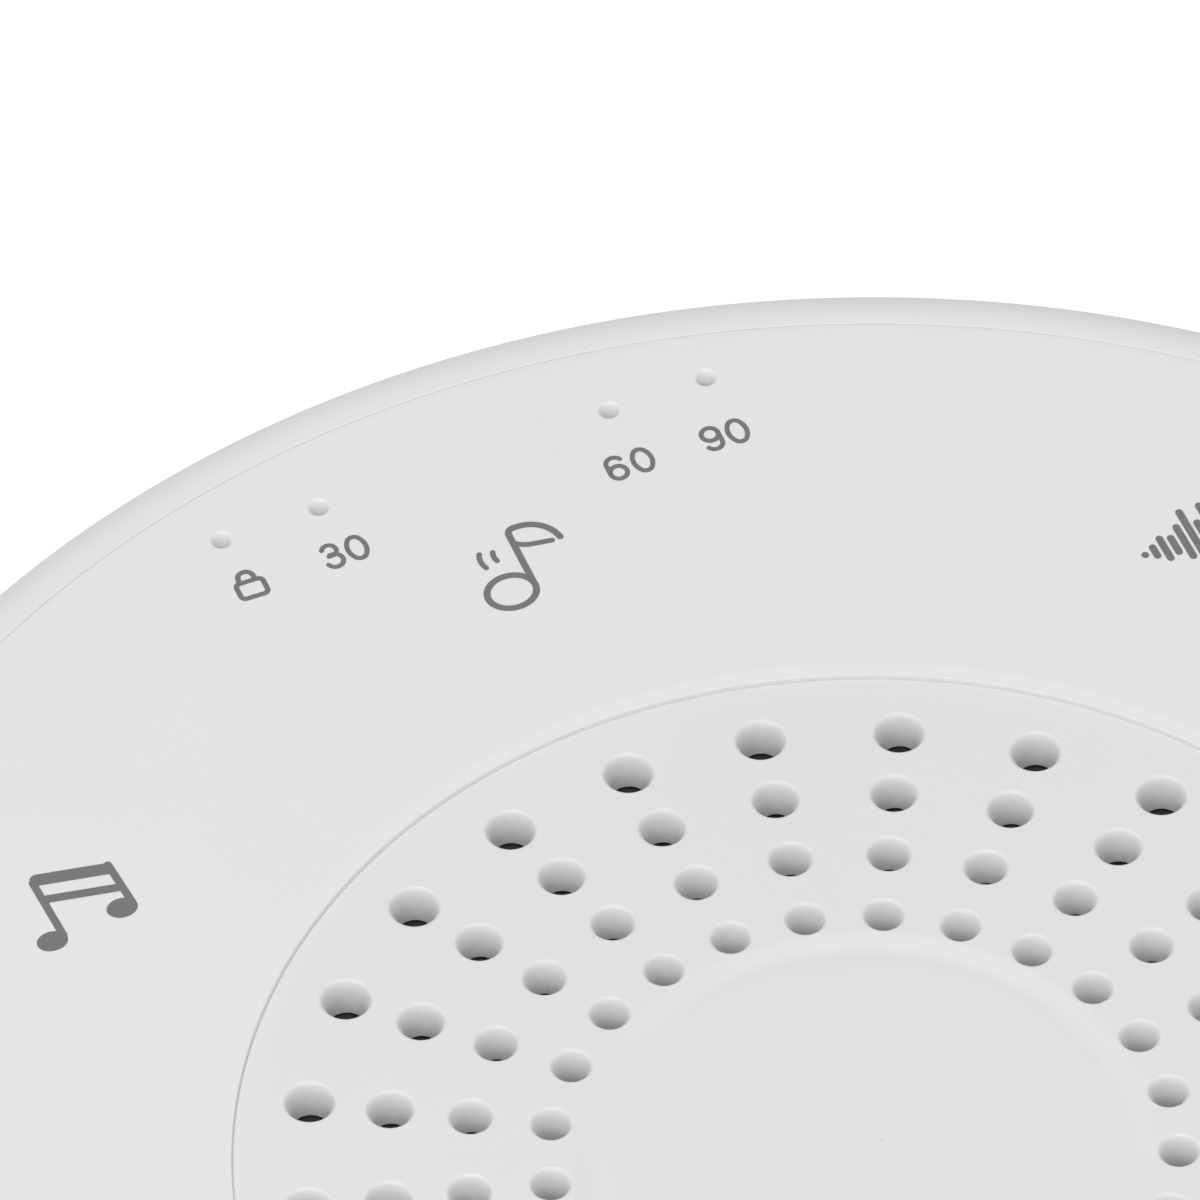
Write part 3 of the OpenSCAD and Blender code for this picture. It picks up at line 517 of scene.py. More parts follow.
def stadiumBar(width, height, near, far, middleZ):
    # a bar along Y with round ends
    nearlyHalf = 0.4995  # of the height, so that two rounds don't run into each other
    bar = block((-width / 2, near, middleZ - height / 2), (width / 2, far, middleZ + height / 2))
    edit(bar)
    bpy.ops.mesh.select_mode(type="EDGE")
    bpy.ops.mesh.select_all(action="DESELECT")
    shape = bmesh.from_edit_mesh(bar.data)
    for edge in shape.edges:
        a, b = (vertex.co for vertex in edge.verts)
        edge.select = abs(a.y - b.y) > mm
    shape.select_flush_mode()
    bmesh.update_edit_mesh(bar.data)
    bpy.ops.mesh.bevel(offset=height * nearlyHalf * mm, segments=12, affect="EDGES")
    bpy.ops.mesh.select_mode(type="VERT")
    return closeMesh()


def ring(count, radius, start=0):
    # places round the axis: x, y and the turn
    turns = [math.radians(start + step * 360 / count) for step in range(count)]
    return [(radius * math.cos(turn), radius * math.sin(turn), turn) for turn in turns]


def repeat(piece, places):
    # copies of a piece at each place, each with its own mesh, joined into one
    twins = []
    for x, y, turn in places:
        twin = piece.copy()
        twin.data = piece.data.copy()
        bpy.context.collection.objects.link(twin)
        twin.location = (x * mm, y * mm, 0)
        twin.rotation_euler.z = turn
        twins.append(twin)
    name = piece.name
    bpy.data.objects.remove(piece)
    bpy.ops.object.select_all(action="DESELECT")
    for twin in twins:
        twin.select_set(True)
    bpy.context.view_layer.objects.active = twins[0]
    bpy.ops.object.transform_apply(location=True, rotation=True, scale=True)
    if len(twins) > 1:
        bpy.ops.object.join()
    bpy.context.object.name = name
    return bpy.context.object


def combine(piece, operation, *tools):
    for tool in tools:
        activate(piece)
        joint = piece.modifiers.new("join", "BOOLEAN")
        joint.operation = operation
        joint.solver = "MANIFOLD"
        joint.object = tool
        bpy.ops.object.modifier_apply(modifier=joint.name)
        bpy.data.objects.remove(tool)
    return piece


def finishPiece(piece, name, finishName, body="case", replaces=(), angle=30):
    activate(piece)
    piece.name = name
    piece.data.name = name
    bpy.ops.object.shade_smooth_by_angle(angle=math.radians(angle))
    weights = piece.modifiers.new("weights", "WEIGHTED_NORMAL")
    weights.keep_sharp = True
    weights.weight = 100
    bpy.ops.object.modifier_apply(modifier=weights.name)
    piece.data.materials.clear()
    piece.data.materials.append(finishes[finishName])
    if body:
        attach(piece, body)
    if replaces:
        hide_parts(*replaces)


# shells

case = {
    "radius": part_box("housing")[1].x / mm,
    "top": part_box("housing")[1].z / mm,
    "seam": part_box("housing")[0].z / mm,
    "under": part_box("base")[0].z / mm,
    "wall": 2.2,
    "rimAcross": 2.5,
    "rimHigh": 1.9,
    "taper": 3,
    "edge": 0.05,  # small rounding that takes the sharpness off a moulded edge
}
rimCentre = (case["radius"] - case["rimAcross"], case["top"] - case["rimHigh"])
draft = math.atan(case["taper"] / (rimCentre[1] - case["seam"]))
rimTurn = math.atan(-case["rimHigh"] * math.tan(draft) / case["rimAcross"])  # where the wall meets the rim
rimTouch = (
    rimCentre[0] + case["rimAcross"] * math.cos(rimTurn),
    rimCentre[1] + case["rimHigh"] * math.sin(rimTurn),
)


def wallRadius(z):
    return rimTouch[0] - (rimTouch[1] - z) * math.tan(draft)


# where screws, posts, feet and the speaker's ears stand, by number, radius and the first one's turn
towerPlaces = ring(4, 44, 45)
bossPlaces = ring(4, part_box("top_panel")[1].x / mm - 4.5, 22.5)
postPlaces = ring(2, 31, 30) + ring(2, 31, 150)
footPlaces = ring(4, 40)
earPlaces = ring(4, 35, 22.5)
past = 1  # how far a cutter stands past what it cuts, and a post inside what carries it
inlet = {
    "height": (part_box("usb_shell")[0].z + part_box("usb_shell")[1].z) / 2 / mm,
    "recessWidth": 14,
    "recessHeight": 8,
    "recessDepth": 1.2,
    "holeWidth": 9.24,
    "holeHeight": 3.46,
    "inward": 4,  # the cutters' reach from the recess's floor
    "outward": 5,
}


def makeHousing():
    size = {
        "panelHole": 54.556, "ledge": 53.22, "ledgeTop": 51.7, "ledgeBottom": 49.9,
        "lugDrop": 4.5, "lugThickness": 1.6, "lugReach": 6, "lugBore": 1.3, "lugBoreDepth": 3,
        "postRadius": 3.5, "columnBottom": 12.3, "columnHeight": 18, "webReach": 9.4,
        "columnBore": 1.5, "columnBoreStop": 2,
        "padWidth": 14, "padHeight": 8, "padFrom": 2.6, "padTo": 0.4,  # inwards from the inlet's recess
    }
    low, top, edge, wall = case["seam"], case["top"], case["edge"], case["wall"]
    foot = wallRadius(low)
    section = Section("housing", foot - wall, low).line((foot - edge, low))
    section.arc(foot - edge, low + edge, 90 - math.degrees(draft), 4)
    section.oval(rimCentre, case["rimAcross"], case["rimHigh"], math.degrees(rimTurn), 90, 32)
    section.line((size["panelHole"] + edge, top)).arc(size["panelHole"] + edge, top - edge, 90, 5)
    section.line(
        (size["panelHole"], size["ledgeTop"]), (size["ledge"], size["ledgeTop"]),
        (size["ledge"], size["ledgeBottom"]), (wallRadius(size["ledgeBottom"]) - wall, size["ledgeBottom"]),
    )
    shell = section.lathe(360)
    post = size["postRadius"]
    lugTop = size["ledgeTop"] - size["lugDrop"]
    lugLow = lugTop - size["lugThickness"]
    lug = combine(
        rod(post, lugLow, lugTop), "UNION", block((0, -post, lugLow), (size["lugReach"], post, lugTop))
    )
    combine(shell, "UNION", repeat(lug, bossPlaces))
    columnLow = size["columnBottom"]
    columnTop = columnLow + size["columnHeight"]
    web = block((0, -wall / 2, columnLow), (size["webReach"], wall / 2, columnTop))
    column = combine(rod(post, columnLow, columnTop), "UNION", web)
    combine(shell, "UNION", repeat(column, towerPlaces))
    recess = wallRadius(inlet["height"]) - inlet["recessDepth"]
    pad = block(
        (-size["padWidth"] / 2, recess - size["padFrom"], columnLow),
        (size["padWidth"] / 2, recess - size["padTo"], columnLow + size["padHeight"]),
    )
    combine(shell, "UNION", pad)
    lugBore = rod(size["lugBore"], lugTop - size["lugBoreDepth"], lugTop + past)
    combine(shell, "DIFFERENCE", repeat(lugBore, bossPlaces))
    columnBore = rod(size["columnBore"], columnLow - past, columnTop - size["columnBoreStop"])
    combine(shell, "DIFFERENCE", repeat(columnBore, towerPlaces))
    outside = recess + inlet["outward"]
    combine(
        shell, "DIFFERENCE",
        stadiumBar(inlet["recessWidth"], inlet["recessHeight"], recess, outside, inlet["height"]),
        stadiumBar(
            inlet["holeWidth"], inlet["holeHeight"], recess - inlet["inward"], outside, inlet["height"]
        ),
    )
    finishPiece(shell, "housingShell", "shell", replaces=["housing"])


def makeBase():
    size = {
        "round": 5, "seamGap": 0.3, "lip": 1.6, "lipWall": 1.2, "lipGap": 0.2, "floor": 2.2, "innerRound": 3,
        "tower": 4.25, "towerTop": 12.1, "headBore": 3.2, "headBoreTop": 6, "screwBore": 1.65,
        "post": 2.5, "postTop": 12, "postBore": 1.1, "boreTop": 14,
        "footWell": 5.65, "footWellDepth": 0.8, "labelWell": 21.2, "labelWellDepth": 0.25,
    }
    under, wall, edge = case["under"], case["wall"], case["edge"]
    seam = case["seam"] - size["seamGap"]
    corner = (wallRadius(under + size["round"]) - size["round"] / math.cos(draft), under + size["round"])
    lip = wallRadius(case["seam"]) - wall - size["lipGap"]
    lipTop = case["seam"] + size["lip"]
    floor = under + size["floor"]
    inner = lip - size["lipWall"]
    section = Section("base", 0, under).line((corner[0], under))
    section.arc(*corner, 90 - math.degrees(draft), 18)
    section.line((wallRadius(seam - edge), seam - edge))
    section.arc(wallRadius(seam - edge) - edge, seam - edge, 90, 4)
    section.line((lip, seam), (lip, lipTop), (inner, lipTop), (inner, floor + size["innerRound"]))
    section.arc(inner - size["innerRound"], floor + size["innerRound"], -90, 8).line((0, floor))
    tray = section.lathe(360)
    combine(
        tray, "UNION",
        repeat(rod(size["tower"], under + past, size["towerTop"]), towerPlaces),
        repeat(rod(size["post"], floor - past, size["postTop"]), postPlaces),
    )
    combine(
        tray, "DIFFERENCE",
        repeat(rod(size["headBore"], under - past, size["headBoreTop"]), towerPlaces),
        repeat(rod(size["screwBore"], 0, size["boreTop"]), towerPlaces),
        repeat(rod(size["postBore"], floor, size["boreTop"]), postPlaces),
        repeat(rod(size["footWell"], under - past, under + size["footWellDepth"], 72), footPlaces),
        rod(size["labelWell"], under - past, under + size["labelWellDepth"], 192),
    )
    finishPiece(tray, "baseTray", "shell", replaces=["base"])


def makeFeet():
    foot = {
        "radius": 5.5, "height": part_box("rubber_feet")[1].z / mm, "edge": 0.5,
        "groove": (3.2, 3.9), "grooveDepth": 0.25, "grooveSlope": 0.1,
    }
    near, far = foot["groove"]
    depth, slope, flat = foot["grooveDepth"], foot["grooveSlope"], foot["radius"] - foot["edge"]
    section = Section("foot", 0, 0)
    section.line((near, 0), (near + slope, depth), (far - slope, depth), (far, 0), (flat, 0))
    section.arc(flat, foot["edge"], 90, 8)
    section.line((foot["radius"], foot["height"]), (0, foot["height"]))
    feet = repeat(section.lathe(96), footPlaces)
    finishPiece(feet, "rubberFeet", "rubber", replaces=["rubber_feet"])


panel = {
    "outer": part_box("top_panel")[1].x / mm + 0.05,  # a finer seam than the solid's
    "inner": 31.06, "bottom": 51.7,
    "outerFall": (0.6, 0.07), "innerFall": (0.8, 0.08), "lip": (0.06, 0.2),
    "boss": 2.5, "bossDrop": 4.5, "bore": 1.1, "boreDrop": 6, "boreRise": 0.5,
    "lamps": (-13.08, -7.78, 8.04, 13.34), "lampLine": 49.8,
    "windowRadius": 0.66, "windowDrop": 0.95, "neck": 0.3, "mouth": 0.32,
    "windowRoom": 1.5, "windowRoomHeight": 1,  # for the window's flange
}
lampPlaces = [(x, panel["lampLine"], 0) for x in panel["lamps"]]
neckLow = case["top"] - panel["windowDrop"]


def makePanel():
    top, bottom = case["top"], panel["bottom"]
    outer, inner = panel["outer"], panel["inner"]
    section = Section("panel", inner, bottom).line((outer, bottom))
    across, high = panel["outerFall"]
    section.oval((outer - across, top - high), across, high, 0, 90)
    across, high = panel["lip"]
    fall, drop = panel["innerFall"]
    section.line((inner + across + fall, top)).dip(-fall, drop)
    section.oval((inner + across, top - drop - high), across, high, 90, 180)
    plate = section.lathe(360)
    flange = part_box("speaker_frame")[1].z / mm
    boreTop = bottom + panel["boreRise"]
    combine(
        plate, "UNION",
        repeat(rod(panel["boss"], bottom - panel["bossDrop"], bottom + past), bossPlaces),
        repeat(rod(panel["boss"], flange, bottom + past), earPlaces),
    )
    combine(
        plate, "DIFFERENCE",
        repeat(rod(panel["bore"], bottom - panel["boreDrop"], boreTop), bossPlaces),
        repeat(rod(panel["bore"], flange - past, boreTop), earPlaces),
    )
    room, roomTop, neck = panel["windowRoom"], bottom + panel["windowRoomHeight"], panel["windowRadius"]
    hole = Section("hole", 0, bottom - past)
    hole.line((room, bottom - past), (room, roomTop), (neck, roomTop), (neck, neckLow))
    mouth = panel["neck"] + panel["mouth"]
    hole.oval((mouth, neckLow), panel["mouth"], panel["windowDrop"], 180, 90)
    hole.line((mouth, top + past), (0, top + past))
    combine(plate, "DIFFERENCE", repeat(hole.lathe(48), lampPlaces))
    finishPiece(plate, "touchPanel", "panel", replaces=["top_panel"])


def makeWindows():
    lens = {
        "flange": 1.3, "flangeFrom": 0.6, "flangeTo": 0.95,  # above the panel's underside
        "dome": ((0.62, -0.02), (0.28, -0.02), (0.14, 0.02), (0, 0.03)),  # above the neck's lower end
    }
    low, high = panel["bottom"] + lens["flangeFrom"], panel["bottom"] + lens["flangeTo"]
    section = Section("lens", 0, low).line((lens["flange"], low), (lens["flange"], high))
    section.line((lens["dome"][0][0], high)).line(*[(x, neckLow + rise) for x, rise in lens["dome"]])
    windows = repeat(section.lathe(48), lampPlaces)
    finishPiece(windows, "lampWindows", "window", replaces=["led_windows"])


def makeGrille():
    grille = {
        "radius": 31.056, "collar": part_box("grille")[1].x / mm, "collarInner": 29.55,
        "collarTop": 51.65, "collarBottom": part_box("grille")[0].z / mm, "bottom": 51.55,
        "top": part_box("grille")[1].z / mm,
        "rows": (27.5, 23.5, 19.5, 15.5), "holes": 25, "turn": 91.3,
        "holeRadius": 0.96, "step": 0.083, "mouth": 0.42, "mouthDepth": 1.4,
        "edgeFall": (0.3, 0.06), "groove": (12.35, 13.15, 14.55), "grooveDepth": 0.22, "grooveRise": 0.045,
    }
    top, radius = grille["top"], grille["radius"]
    fall, drop = grille["edgeFall"]
    near, middle, far = grille["groove"]
    section = Section("grille", 0, grille["bottom"]).line(
        (grille["collarInner"], grille["bottom"]), (grille["collarInner"], grille["collarBottom"]),
        (grille["collar"], grille["collarBottom"]), (grille["collar"], grille["collarTop"]),
        (radius, grille["collarTop"]), (radius, top - drop),
    )
    section.oval((radius - fall, top - drop), fall, drop, 0, 90).line((far, top))
    section.dip(middle - far, grille["grooveDepth"]).dip(near - middle, -grille["grooveRise"])
    section.dip(-near, grille["grooveRise"] - grille["grooveDepth"])
    plate = section.lathe(360)
    for row, rowRadius in enumerate(grille["rows"]):
        hole = grille["holeRadius"] - row * grille["step"]
        cutter = Section("hole", 0, grille["bottom"] - past)
        cutter.line((hole, grille["bottom"] - past), (hole, top - grille["mouthDepth"]))
        mouth = hole + grille["mouth"]
        cutter.oval((mouth, top - grille["mouthDepth"]), grille["mouth"], grille["mouthDepth"], 180, 90)
        cutter.line((mouth, top + past), (0, top + past))
        places = ring(grille["holes"], rowRadius, grille["turn"])
        combine(plate, "DIFFERENCE", repeat(cutter.lathe(48), places))
    finishPiece(plate, "grillePlate", "grille", replaces=["grille"])


makeHousing()
makeBase()
makeFeet()
makePanel()
makeWindows()
makeGrille()
print("shells made")


# soft pieces of the speaker, made at rest; on the real speaker they bend while the cone moves

def bendRound(section):
    # one wedge from cone to case, and its copies round the axis make the whole ring
    wedges = 48
    wedge = section.lathe(2, 360 / wedges)
    middle = sum((vertex.co for vertex in wedge.data.vertices), Vector())
    middle.z = 0
    middle.normalize()
    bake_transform(wedge)
    edit(repeat(wedge, ring(wedges, 0)))
    return closeMesh()


def makeSurround():
    size = {"lip": 21.8, "middle": 24.8, "roll": 1.8, "thickness": 0.4, "held": 0.1}
    low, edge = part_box("surround")[0].z / mm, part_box("surround")[1].x / mm
    middle, roll, high = size["middle"], size["roll"], low + size["thickness"]
    inside = roll - size["thickness"]
    foot = math.sqrt(roll ** 2 - size["thickness"] ** 2)
    section = Section("surround", size["lip"], low).line((middle - inside, low)).arc(middle, low, -180, 20)
    section.line((edge, low), (edge, high), (middle + foot, high))
    section.arc(middle, low, 180 - 2 * math.degrees(math.asin(size["thickness"] / roll)), 20)
    section.line((size["lip"], high))
    piece = bendRound(section)
    finishPiece(piece, "surroundRoll", "surround", body=None, replaces=["surround"])


def makeSpider():
    size = {
        "inner": 7.2, "waves": 4, "rise": 0.45, "thickness": 0.4, "steps": 48,
        "bendFrom": 7.8, "bendTo": 15.2,  # what lies further in or out is glued down
    }
    low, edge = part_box("spider")[0].z / mm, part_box("spider")[1].x / mm
    shares = [step / size["steps"] for step in range(size["steps"] + 1)]
    under = [
        (size["inner"] + (edge - size["inner"]) * share,
         low + size["rise"] * (1 - math.cos(math.tau * size["waves"] * share)))
        for share in shares
    ]
    section = Section("spider", *under[0]).line(*under[1:])
    section.line(*[(x, z + size["thickness"]) for x, z in reversed(under)])
    piece = bendRound(section)
    finishPiece(piece, "spiderDisc", "spider", body=None, replaces=["spider"])


def makeTinsel():
    # two braided leads from the rivets to the cone, each a path given its thickness
    lead = {
        "thickness": 0.7, "side": 2.6, "bendFrom": 16.2, "bendTo": 25.6,
        "path": ((26.45, 39.1), (24.45, 38.5), (20.99, 38.1), (16.52, 40.22), (15.52, 42.62)),
    }
    Section("tinsel", *lead["path"][0]).line(*lead["path"][1:])
    bpy.ops.object.mode_set(mode="OBJECT")
    bpy.ops.object.convert(target="CURVE")
    curve = bpy.context.object.data
    curve.dimensions = "3D"
    spline = curve.splines[0]
    spline.type = "NURBS"
    spline.use_endpoint_u = True
    spline.order_u = 4
    spline.resolution_u = 8
    curve.bevel_depth = lead["thickness"] / 2 * mm
    curve.bevel_resolution = 3
    curve.use_fill_caps = True
    bpy.ops.object.convert(target="MESH")
    pair = repeat(bpy.context.object, [(0, lead["side"], 0), (0, -lead["side"], 0)])
    edit(pair)
    closeMesh()
    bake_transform(pair)
    finishPiece(pair, "tinselPair", "braid", body=None, replaces=["tinsel_leads"])


makeSurround()
makeSpider()
makeTinsel()
print("soft pieces of the speaker made")


# print

inkSize = {
    "thickness": 0.03, "sunk": 0.012, "line": 0.36, "figureLine": 0.25, "tilt": -1.5,
    "layer": 0.003, "climb": 0.0002,  # no two strokes lie at one height, nor the ends of a closed one
    "endTurns": (6, 22, 42, 64, 90), "bendStep": 9,  # degrees
}
printPlaces = {
    "inkLock": (-12.96, 46.18), "ink30": (-7.78, 46.55), "ink60": (7.53, 46.05), "ink90": (12.65, 45.88),
    "inkNote": (-0.02, 40.68), "inkChime": (-29.17, 30.9), "inkWave": (31.78, 29.85),
    "inkPlus": (42.4, 0), "inkMinus": (-42.4, 0), "inkPower": (0, -42.4),
    "inkTimer": (-30, -30), "inkMoon": (30, -30),
}


class Ink:
    # a flat pen: an edge as wide as the line is drawn along the panel, with round ends
    def __init__(self, name, width=inkSize["line"]):
        bpy.ops.object.select_all(action="DESELECT")
        bpy.ops.mesh.primitive_plane_add(size=2 * mm)
        bpy.context.object.name = name
        bpy.ops.object.mode_set(mode="EDIT")
        bpy.ops.mesh.delete(type="VERT")
        self.half = width / 2
        self.layer = 0

    def course(self):
        return Vector((math.cos(self.heading), math.sin(self.heading), 0))

    def left(self):
        return Vector((-math.sin(self.heading), math.cos(self.heading), 0))

    def push(self, length, growth=1):
        # one step ahead, where growth widens or narrows the edge for the round ends
        move = self.course() * length + Vector((0, 0, inkSize["climb"]))
        self.spot += move
        bpy.ops.mesh.extrude_edges_move(TRANSFORM_OT_translate={"value": move * mm})
        if growth != 1:
            bpy.ops.transform.resize(value=(growth, growth, 1), center_override=self.spot * mm)

    def stroke(self, x, y, heading):
        self.heading = math.radians(heading)
        self.layer += inkSize["layer"]
        tip = math.radians(inkSize["endTurns"][0])
        self.spot = Vector((x, y, self.layer)) - self.course() * self.half * math.cos(tip)
        side = self.left() * self.half * math.sin(tip)
        bpy.ops.mesh.select_all(action="DESELECT")
        bpy.ops.mesh.primitive_plane_add(size=2 * mm)
        bpy.ops.mesh.merge(type="CENTER")
        bpy.ops.transform.translate(value=(self.spot + side) * mm)
        bpy.ops.mesh.extrude_vertices_move(TRANSFORM_OT_translate={"value": -2 * side * mm})
        bpy.ops.mesh.select_linked()
        return self.roundEnd(inkSize["endTurns"])

    def roundEnd(self, turns):
        angles = [math.radians(turn) for turn in turns]
        for a, b in zip(angles, angles[1:]):
            self.push(self.half * abs(math.cos(a) - math.cos(b)), math.sin(b) / math.sin(a))
        return self

    def ahead(self, length):
        self.push(length)
        return self

    def bend(self, radius, degrees):
        # positive degrees bend to the left
        hand = 1 if degrees > 0 else -1
        centre = self.spot + self.left() * radius * hand
        steps = max(3, round(abs(degrees) / inkSize["bendStep"]))
        bpy.ops.mesh.spin(
            steps=steps, angle=math.radians(abs(degrees)), center=centre * mm, axis=(0, 0, -hand)
        )
        self.spot = centre + Matrix.Rotation(math.radians(degrees), 3, "Z") @ (self.spot - centre)
        self.heading += math.radians(degrees)
        return self

    def lift(self):
        return self.roundEnd(inkSize["endTurns"][::-1])

    def disc(self, x, y, across, along, hollow=False):
        # a filled or hollow oval
        self.layer += inkSize["layer"]
        centre = Vector((x, y, self.layer)) * mm
        bpy.ops.mesh.select_all(action="DESELECT")
        bpy.ops.mesh.primitive_circle_add(vertices=48, radius=mm, fill_type="NGON", location=centre)
        bpy.ops.transform.resize(value=(across / 2, along / 2, 1), center_override=centre)
        if hollow:
            bpy.ops.mesh.inset(thickness=2 * self.half * mm)
            bpy.ops.mesh.delete(type="FACE")
            bpy.ops.mesh.select_all(action="DESELECT")
        return self

    def press(self, turn=0):
        # gives the ink its thickness and lays it on the panel
        bpy.ops.mesh.select_all(action="SELECT")
        bpy.ops.mesh.extrude_region_move(TRANSFORM_OT_translate={"value": (0, 0, inkSize["thickness"] * mm)})
        piece = closeMesh()
        x, y = printPlaces[piece.name]
        piece.location = (x * mm, y * mm, (case["top"] - inkSize["sunk"]) * mm)
        piece.rotation_euler.z = math.radians(turn)
        activate(piece)
        bpy.ops.object.transform_apply(location=True, rotation=True, scale=True)
        finishPiece(piece, piece.name, "ink", angle=40)


def drawZero(pen, x, y):
    half, side, end = 0.475, 1.02, 0.355
    pen.stroke(x - half, y, 90).bend(side, -35).bend(end, -110)
    pen.bend(side, -70).bend(end, -110).bend(side, -35).lift()


def drawSix(pen, x, y, hand=1):
    # hand -1 turns it into a nine
    bowl, drop = 0.43, 0.31
    start = (x - bowl * hand, y - drop * hand, 90 * hand)
    pen.stroke(*start).ahead(0.6).bend(bowl, -150).lift()
    pen.stroke(*start).bend(bowl, -359).lift()


def drawThree(pen, x, y):
    upper, lower = 0.37, 0.43
    pen.stroke(x - 0.39, y + 0.46, 70).bend(upper, -250).ahead(0.14).lift()
    pen.stroke(x - 0.12, y + 0.05, 0).ahead(0.12).bend(lower, -250).lift()


def printTimers():
    tilt, line = inkSize["tilt"], inkSize["figureLine"]
    pen = Ink("inkLock", 0.27)
    pen.stroke(0, -0.54, 0).ahead(0.47).bend(0.24, 90).ahead(0.58).bend(0.24, 90).ahead(0.94)
    pen.bend(0.24, 90).ahead(0.58).bend(0.24, 90).ahead(0.47).lift()
    pen.stroke(-0.46, 0.52, 84).ahead(0.3).bend(0.4, -168).ahead(0.3).lift()
    pen.press(tilt)
    pen = Ink("ink30", line)
    drawThree(pen, -0.66, 0)
    drawZero(pen, 0.66, 0)
    pen.press(tilt)
    pen = Ink("ink60", line)
    drawSix(pen, -0.7, 0)
    drawZero(pen, 0.7, 0)
    pen.press(tilt)
    pen = Ink("ink90", line)
    drawSix(pen, -0.68, 0, -1)
    drawZero(pen, 0.68, 0)
    pen.press(tilt)


def printTunes():
    pen = Ink("inkNote", 0.35)
    pen.disc(-1.22, -0.04, 2.88, 2.5, True)
    pen.stroke(0.03, 0.05, 88).ahead(3.45).bend(0.35, -88).ahead(0.25).bend(1.7, -78).ahead(0.15).lift()
    pen.half = 0.15
    pen.stroke(0.2, 2.85, -42).bend(1.6, 32).ahead(1.0).lift()
    pen.half = 0.14
    pen.stroke(-1.72, 2.9, -118).bend(1.1, 52).lift()
    pen.stroke(-1.05, 2.75, -114).bend(0.8, 44).lift()
    pen.press()
    pen = Ink("inkChime", 0.4)
    pen.disc(-1.95, -2.1, 1.6, 1.25).disc(2.05, -1.5, 1.6, 1.25)
    pen.stroke(-1.3, -1.95, 91).ahead(3.75).lift()
    pen.stroke(2.65, -1.35, 93).ahead(2.75).lift()
    pen.half = 0.36
    pen.stroke(-1.1, 1.9, -12).ahead(3.5).lift()
    pen.half = 0.24
    pen.stroke(-1.15, 0.55, -12).ahead(3.6).lift()
    pen.press()
    wave = {"line": 0.38, "pitch": 0.54, "heights": (0.4, 1.0, 1.8, 1.4, 2.5, 4.2, 2.2)}
    heights = wave["heights"] + wave["heights"][-2::-1]
    pen = Ink("inkWave", wave["line"])
    for count, height in enumerate(heights):
        x = (count - len(heights) // 2) * wave["pitch"]
        run = max(height - wave["line"], 0.02)
        pen.stroke(x, -run / 2, 90).ahead(run).lift()
    pen.press()


def printKeys():
    # the keys on the side nearer the user
    Ink("inkPlus").stroke(-1.5, 0, 0).ahead(3).lift().stroke(0, -1.5, 90).ahead(3).lift().press()
    Ink("inkMinus").stroke(-1.5, 0, 0).ahead(3).lift().press()
    pen = Ink("inkPower").stroke(-0.85, 1.4, 211).bend(1.64, 298).lift()
    pen.stroke(0, 0.5, 90).ahead(1.5).lift().press()
    pen = Ink("inkTimer").stroke(1.75, 0, 90).bend(1.75, 359).lift()
    pen.stroke(0, 1.0, -90).ahead(1).lift().stroke(0, 0, 0).ahead(0.7).lift().press()
    pen = Ink("inkMoon").stroke(0.55, 1.68, 172).bend(1.75, 232).lift()
    pen.stroke(0.4, 1.6, -128).bend(1.45, 118).lift().press()


printTimers()
printTunes()
printKeys()
print("print laid on the panel")


# floor and light

light = {
    "world": 0.41,
    "key": {"turn": -38, "elevation": 66, "distance": 800, "size": 940, "power": 4.75},
    "floorSize": 6000,
    "floorGap": 0.03,  # under the feet
    "floorTone": 0.86,
    "floorGlow": 0.4,  # only where the floor is seen, so that it is as white as the world
}


def placeSoftbox(name, softbox):
    turn, elevation = math.radians(softbox["turn"]), math.radians(softbox["elevation"])
    towards = Vector((
        math.sin(turn) * math.cos(elevation), -math.cos(turn) * math.cos(elevation), math.sin(elevation)
    ))
    place = towards * softbox["distance"] * mm
    bpy.ops.object.light_add(type="AREA", location=place, rotation=towards.to_track_quat("Z", "Y").to_euler())
    lamp = bpy.context.object
    lamp.name = name
    lamp.data.shape = "DISK"
    lamp.data.size = softbox["size"] * mm
    lamp.data.energy = softbox["power"]


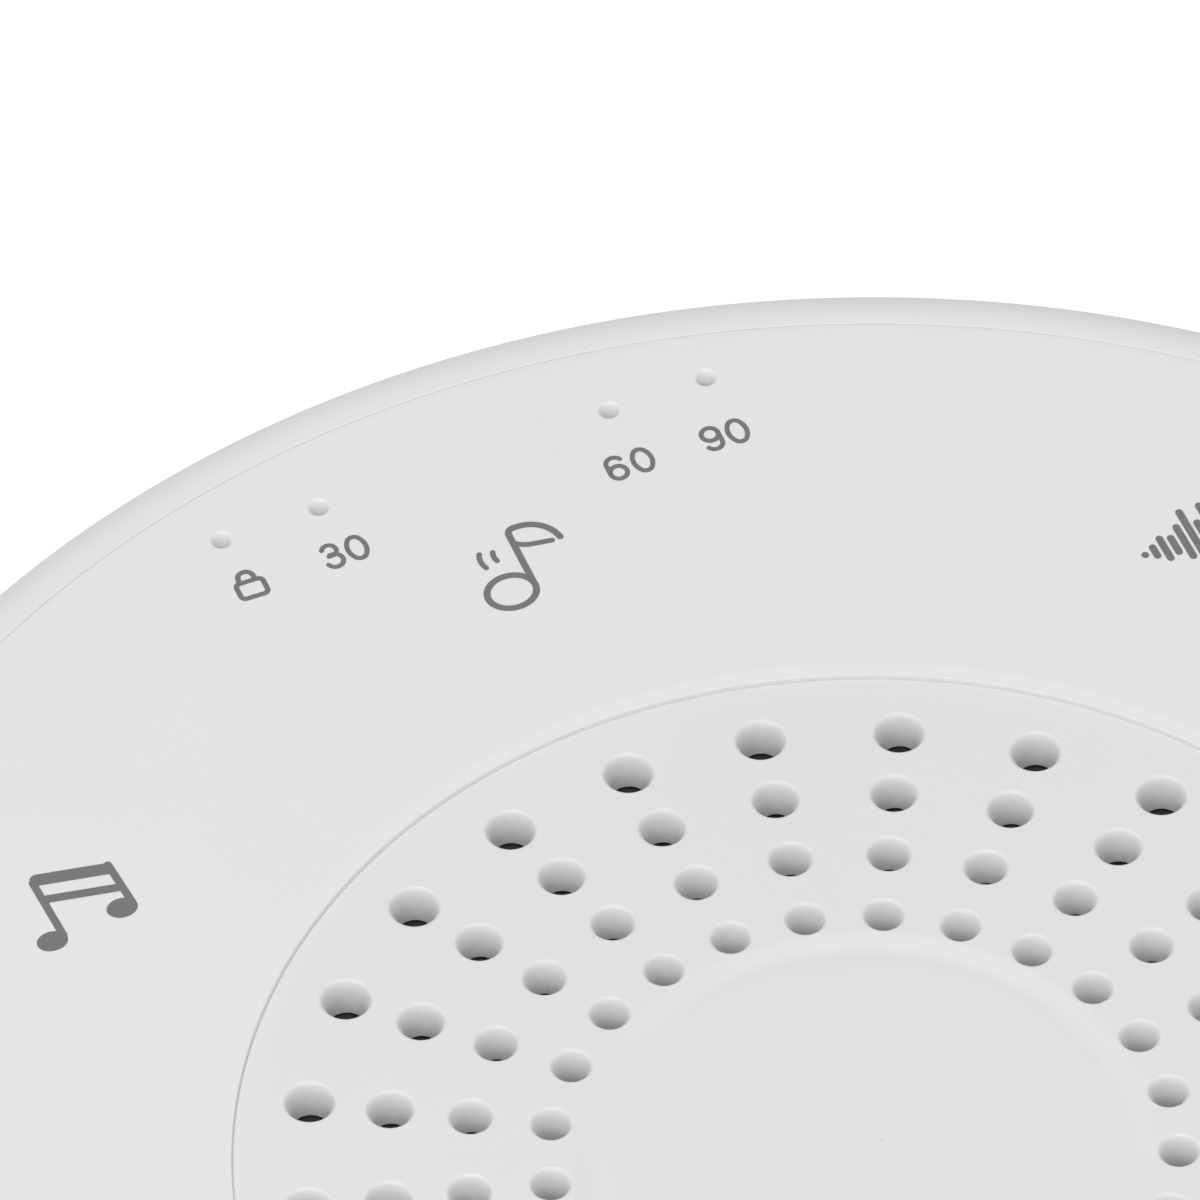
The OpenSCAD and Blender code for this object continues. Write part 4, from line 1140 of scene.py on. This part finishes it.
def seenDirectly(nodes):
    # 1 for the camera's rays, for mirrored ones and for those that come through glass
    camera, mirrored, glass = nodes.node(
        "ShaderNodeLightPath", {}, {}, "Is Camera Ray", "Is Glossy Ray", "Is Transmission Ray"
    )
    return camera.larger(mirrored).larger(glass)


def paintWorld(strength):
    # white where it is seen, and dimmer as a light
    world = bpy.context.scene.world or bpy.data.worlds.new("World")
    bpy.context.scene.world = world
    nodes = NodeTree(world)
    background = nodes.tree.nodes["Background"]
    span = {"Value": seenDirectly(nodes), "To Min": strength, "To Max": 1}
    nodes.plug(background, "Color", (1, 1, 1, 1))
    nodes.plug(background, "Strength", nodes.node("ShaderNodeMapRange", {}, span))


def layFloor():
    gap, tone = light["floorGap"], light["floorTone"]
    bpy.ops.object.select_all(action="DESELECT")
    bpy.ops.mesh.primitive_plane_add(size=light["floorSize"] * mm, location=(0, 0, -gap * mm))
    floor = bpy.context.object
    floor.name = "floor"
    material = bpy.data.materials.new("floorWhite")
    nodes = NodeTree(material)
    shader = nodes.tree.nodes["Principled BSDF"]
    nodes.plug(shader, "Base Color", (tone, tone, tone, 1))
    nodes.plug(shader, "Roughness", 0.9)
    nodes.plug(shader, "Specular IOR Level", 0)
    glow = nodes.node("ShaderNodeEmission", {}, {"Strength": light["floorGlow"]})
    dark = nodes.node("ShaderNodeEmission", {}, {"Strength": 0})
    seen = nodes.node("ShaderNodeMixShader", {}, {0: seenDirectly(nodes), 1: dark, 2: glow})
    lit = nodes.node("ShaderNodeAddShader", {}, {0: Wire(nodes, shader.outputs[0]), 1: seen})
    # the floor's underside is clear, so that the feet and the base can be seen from below
    below = nodes.node("ShaderNodeNewGeometry", {}, {}, "Backfacing")
    clear = nodes.node("ShaderNodeBsdfTransparent", {}, {})
    sides = nodes.node("ShaderNodeMixShader", {}, {0: below, 1: lit, 2: clear})
    nodes.plug(nodes.tree.nodes["Material Output"], "Surface", sides)
    floor.data.materials.append(material)


placeSoftbox("keyLight", light["key"])
paintWorld(light["world"])
layFloor()
bpy.context.scene.view_settings.view_transform = "Standard"
print("floor and light set")
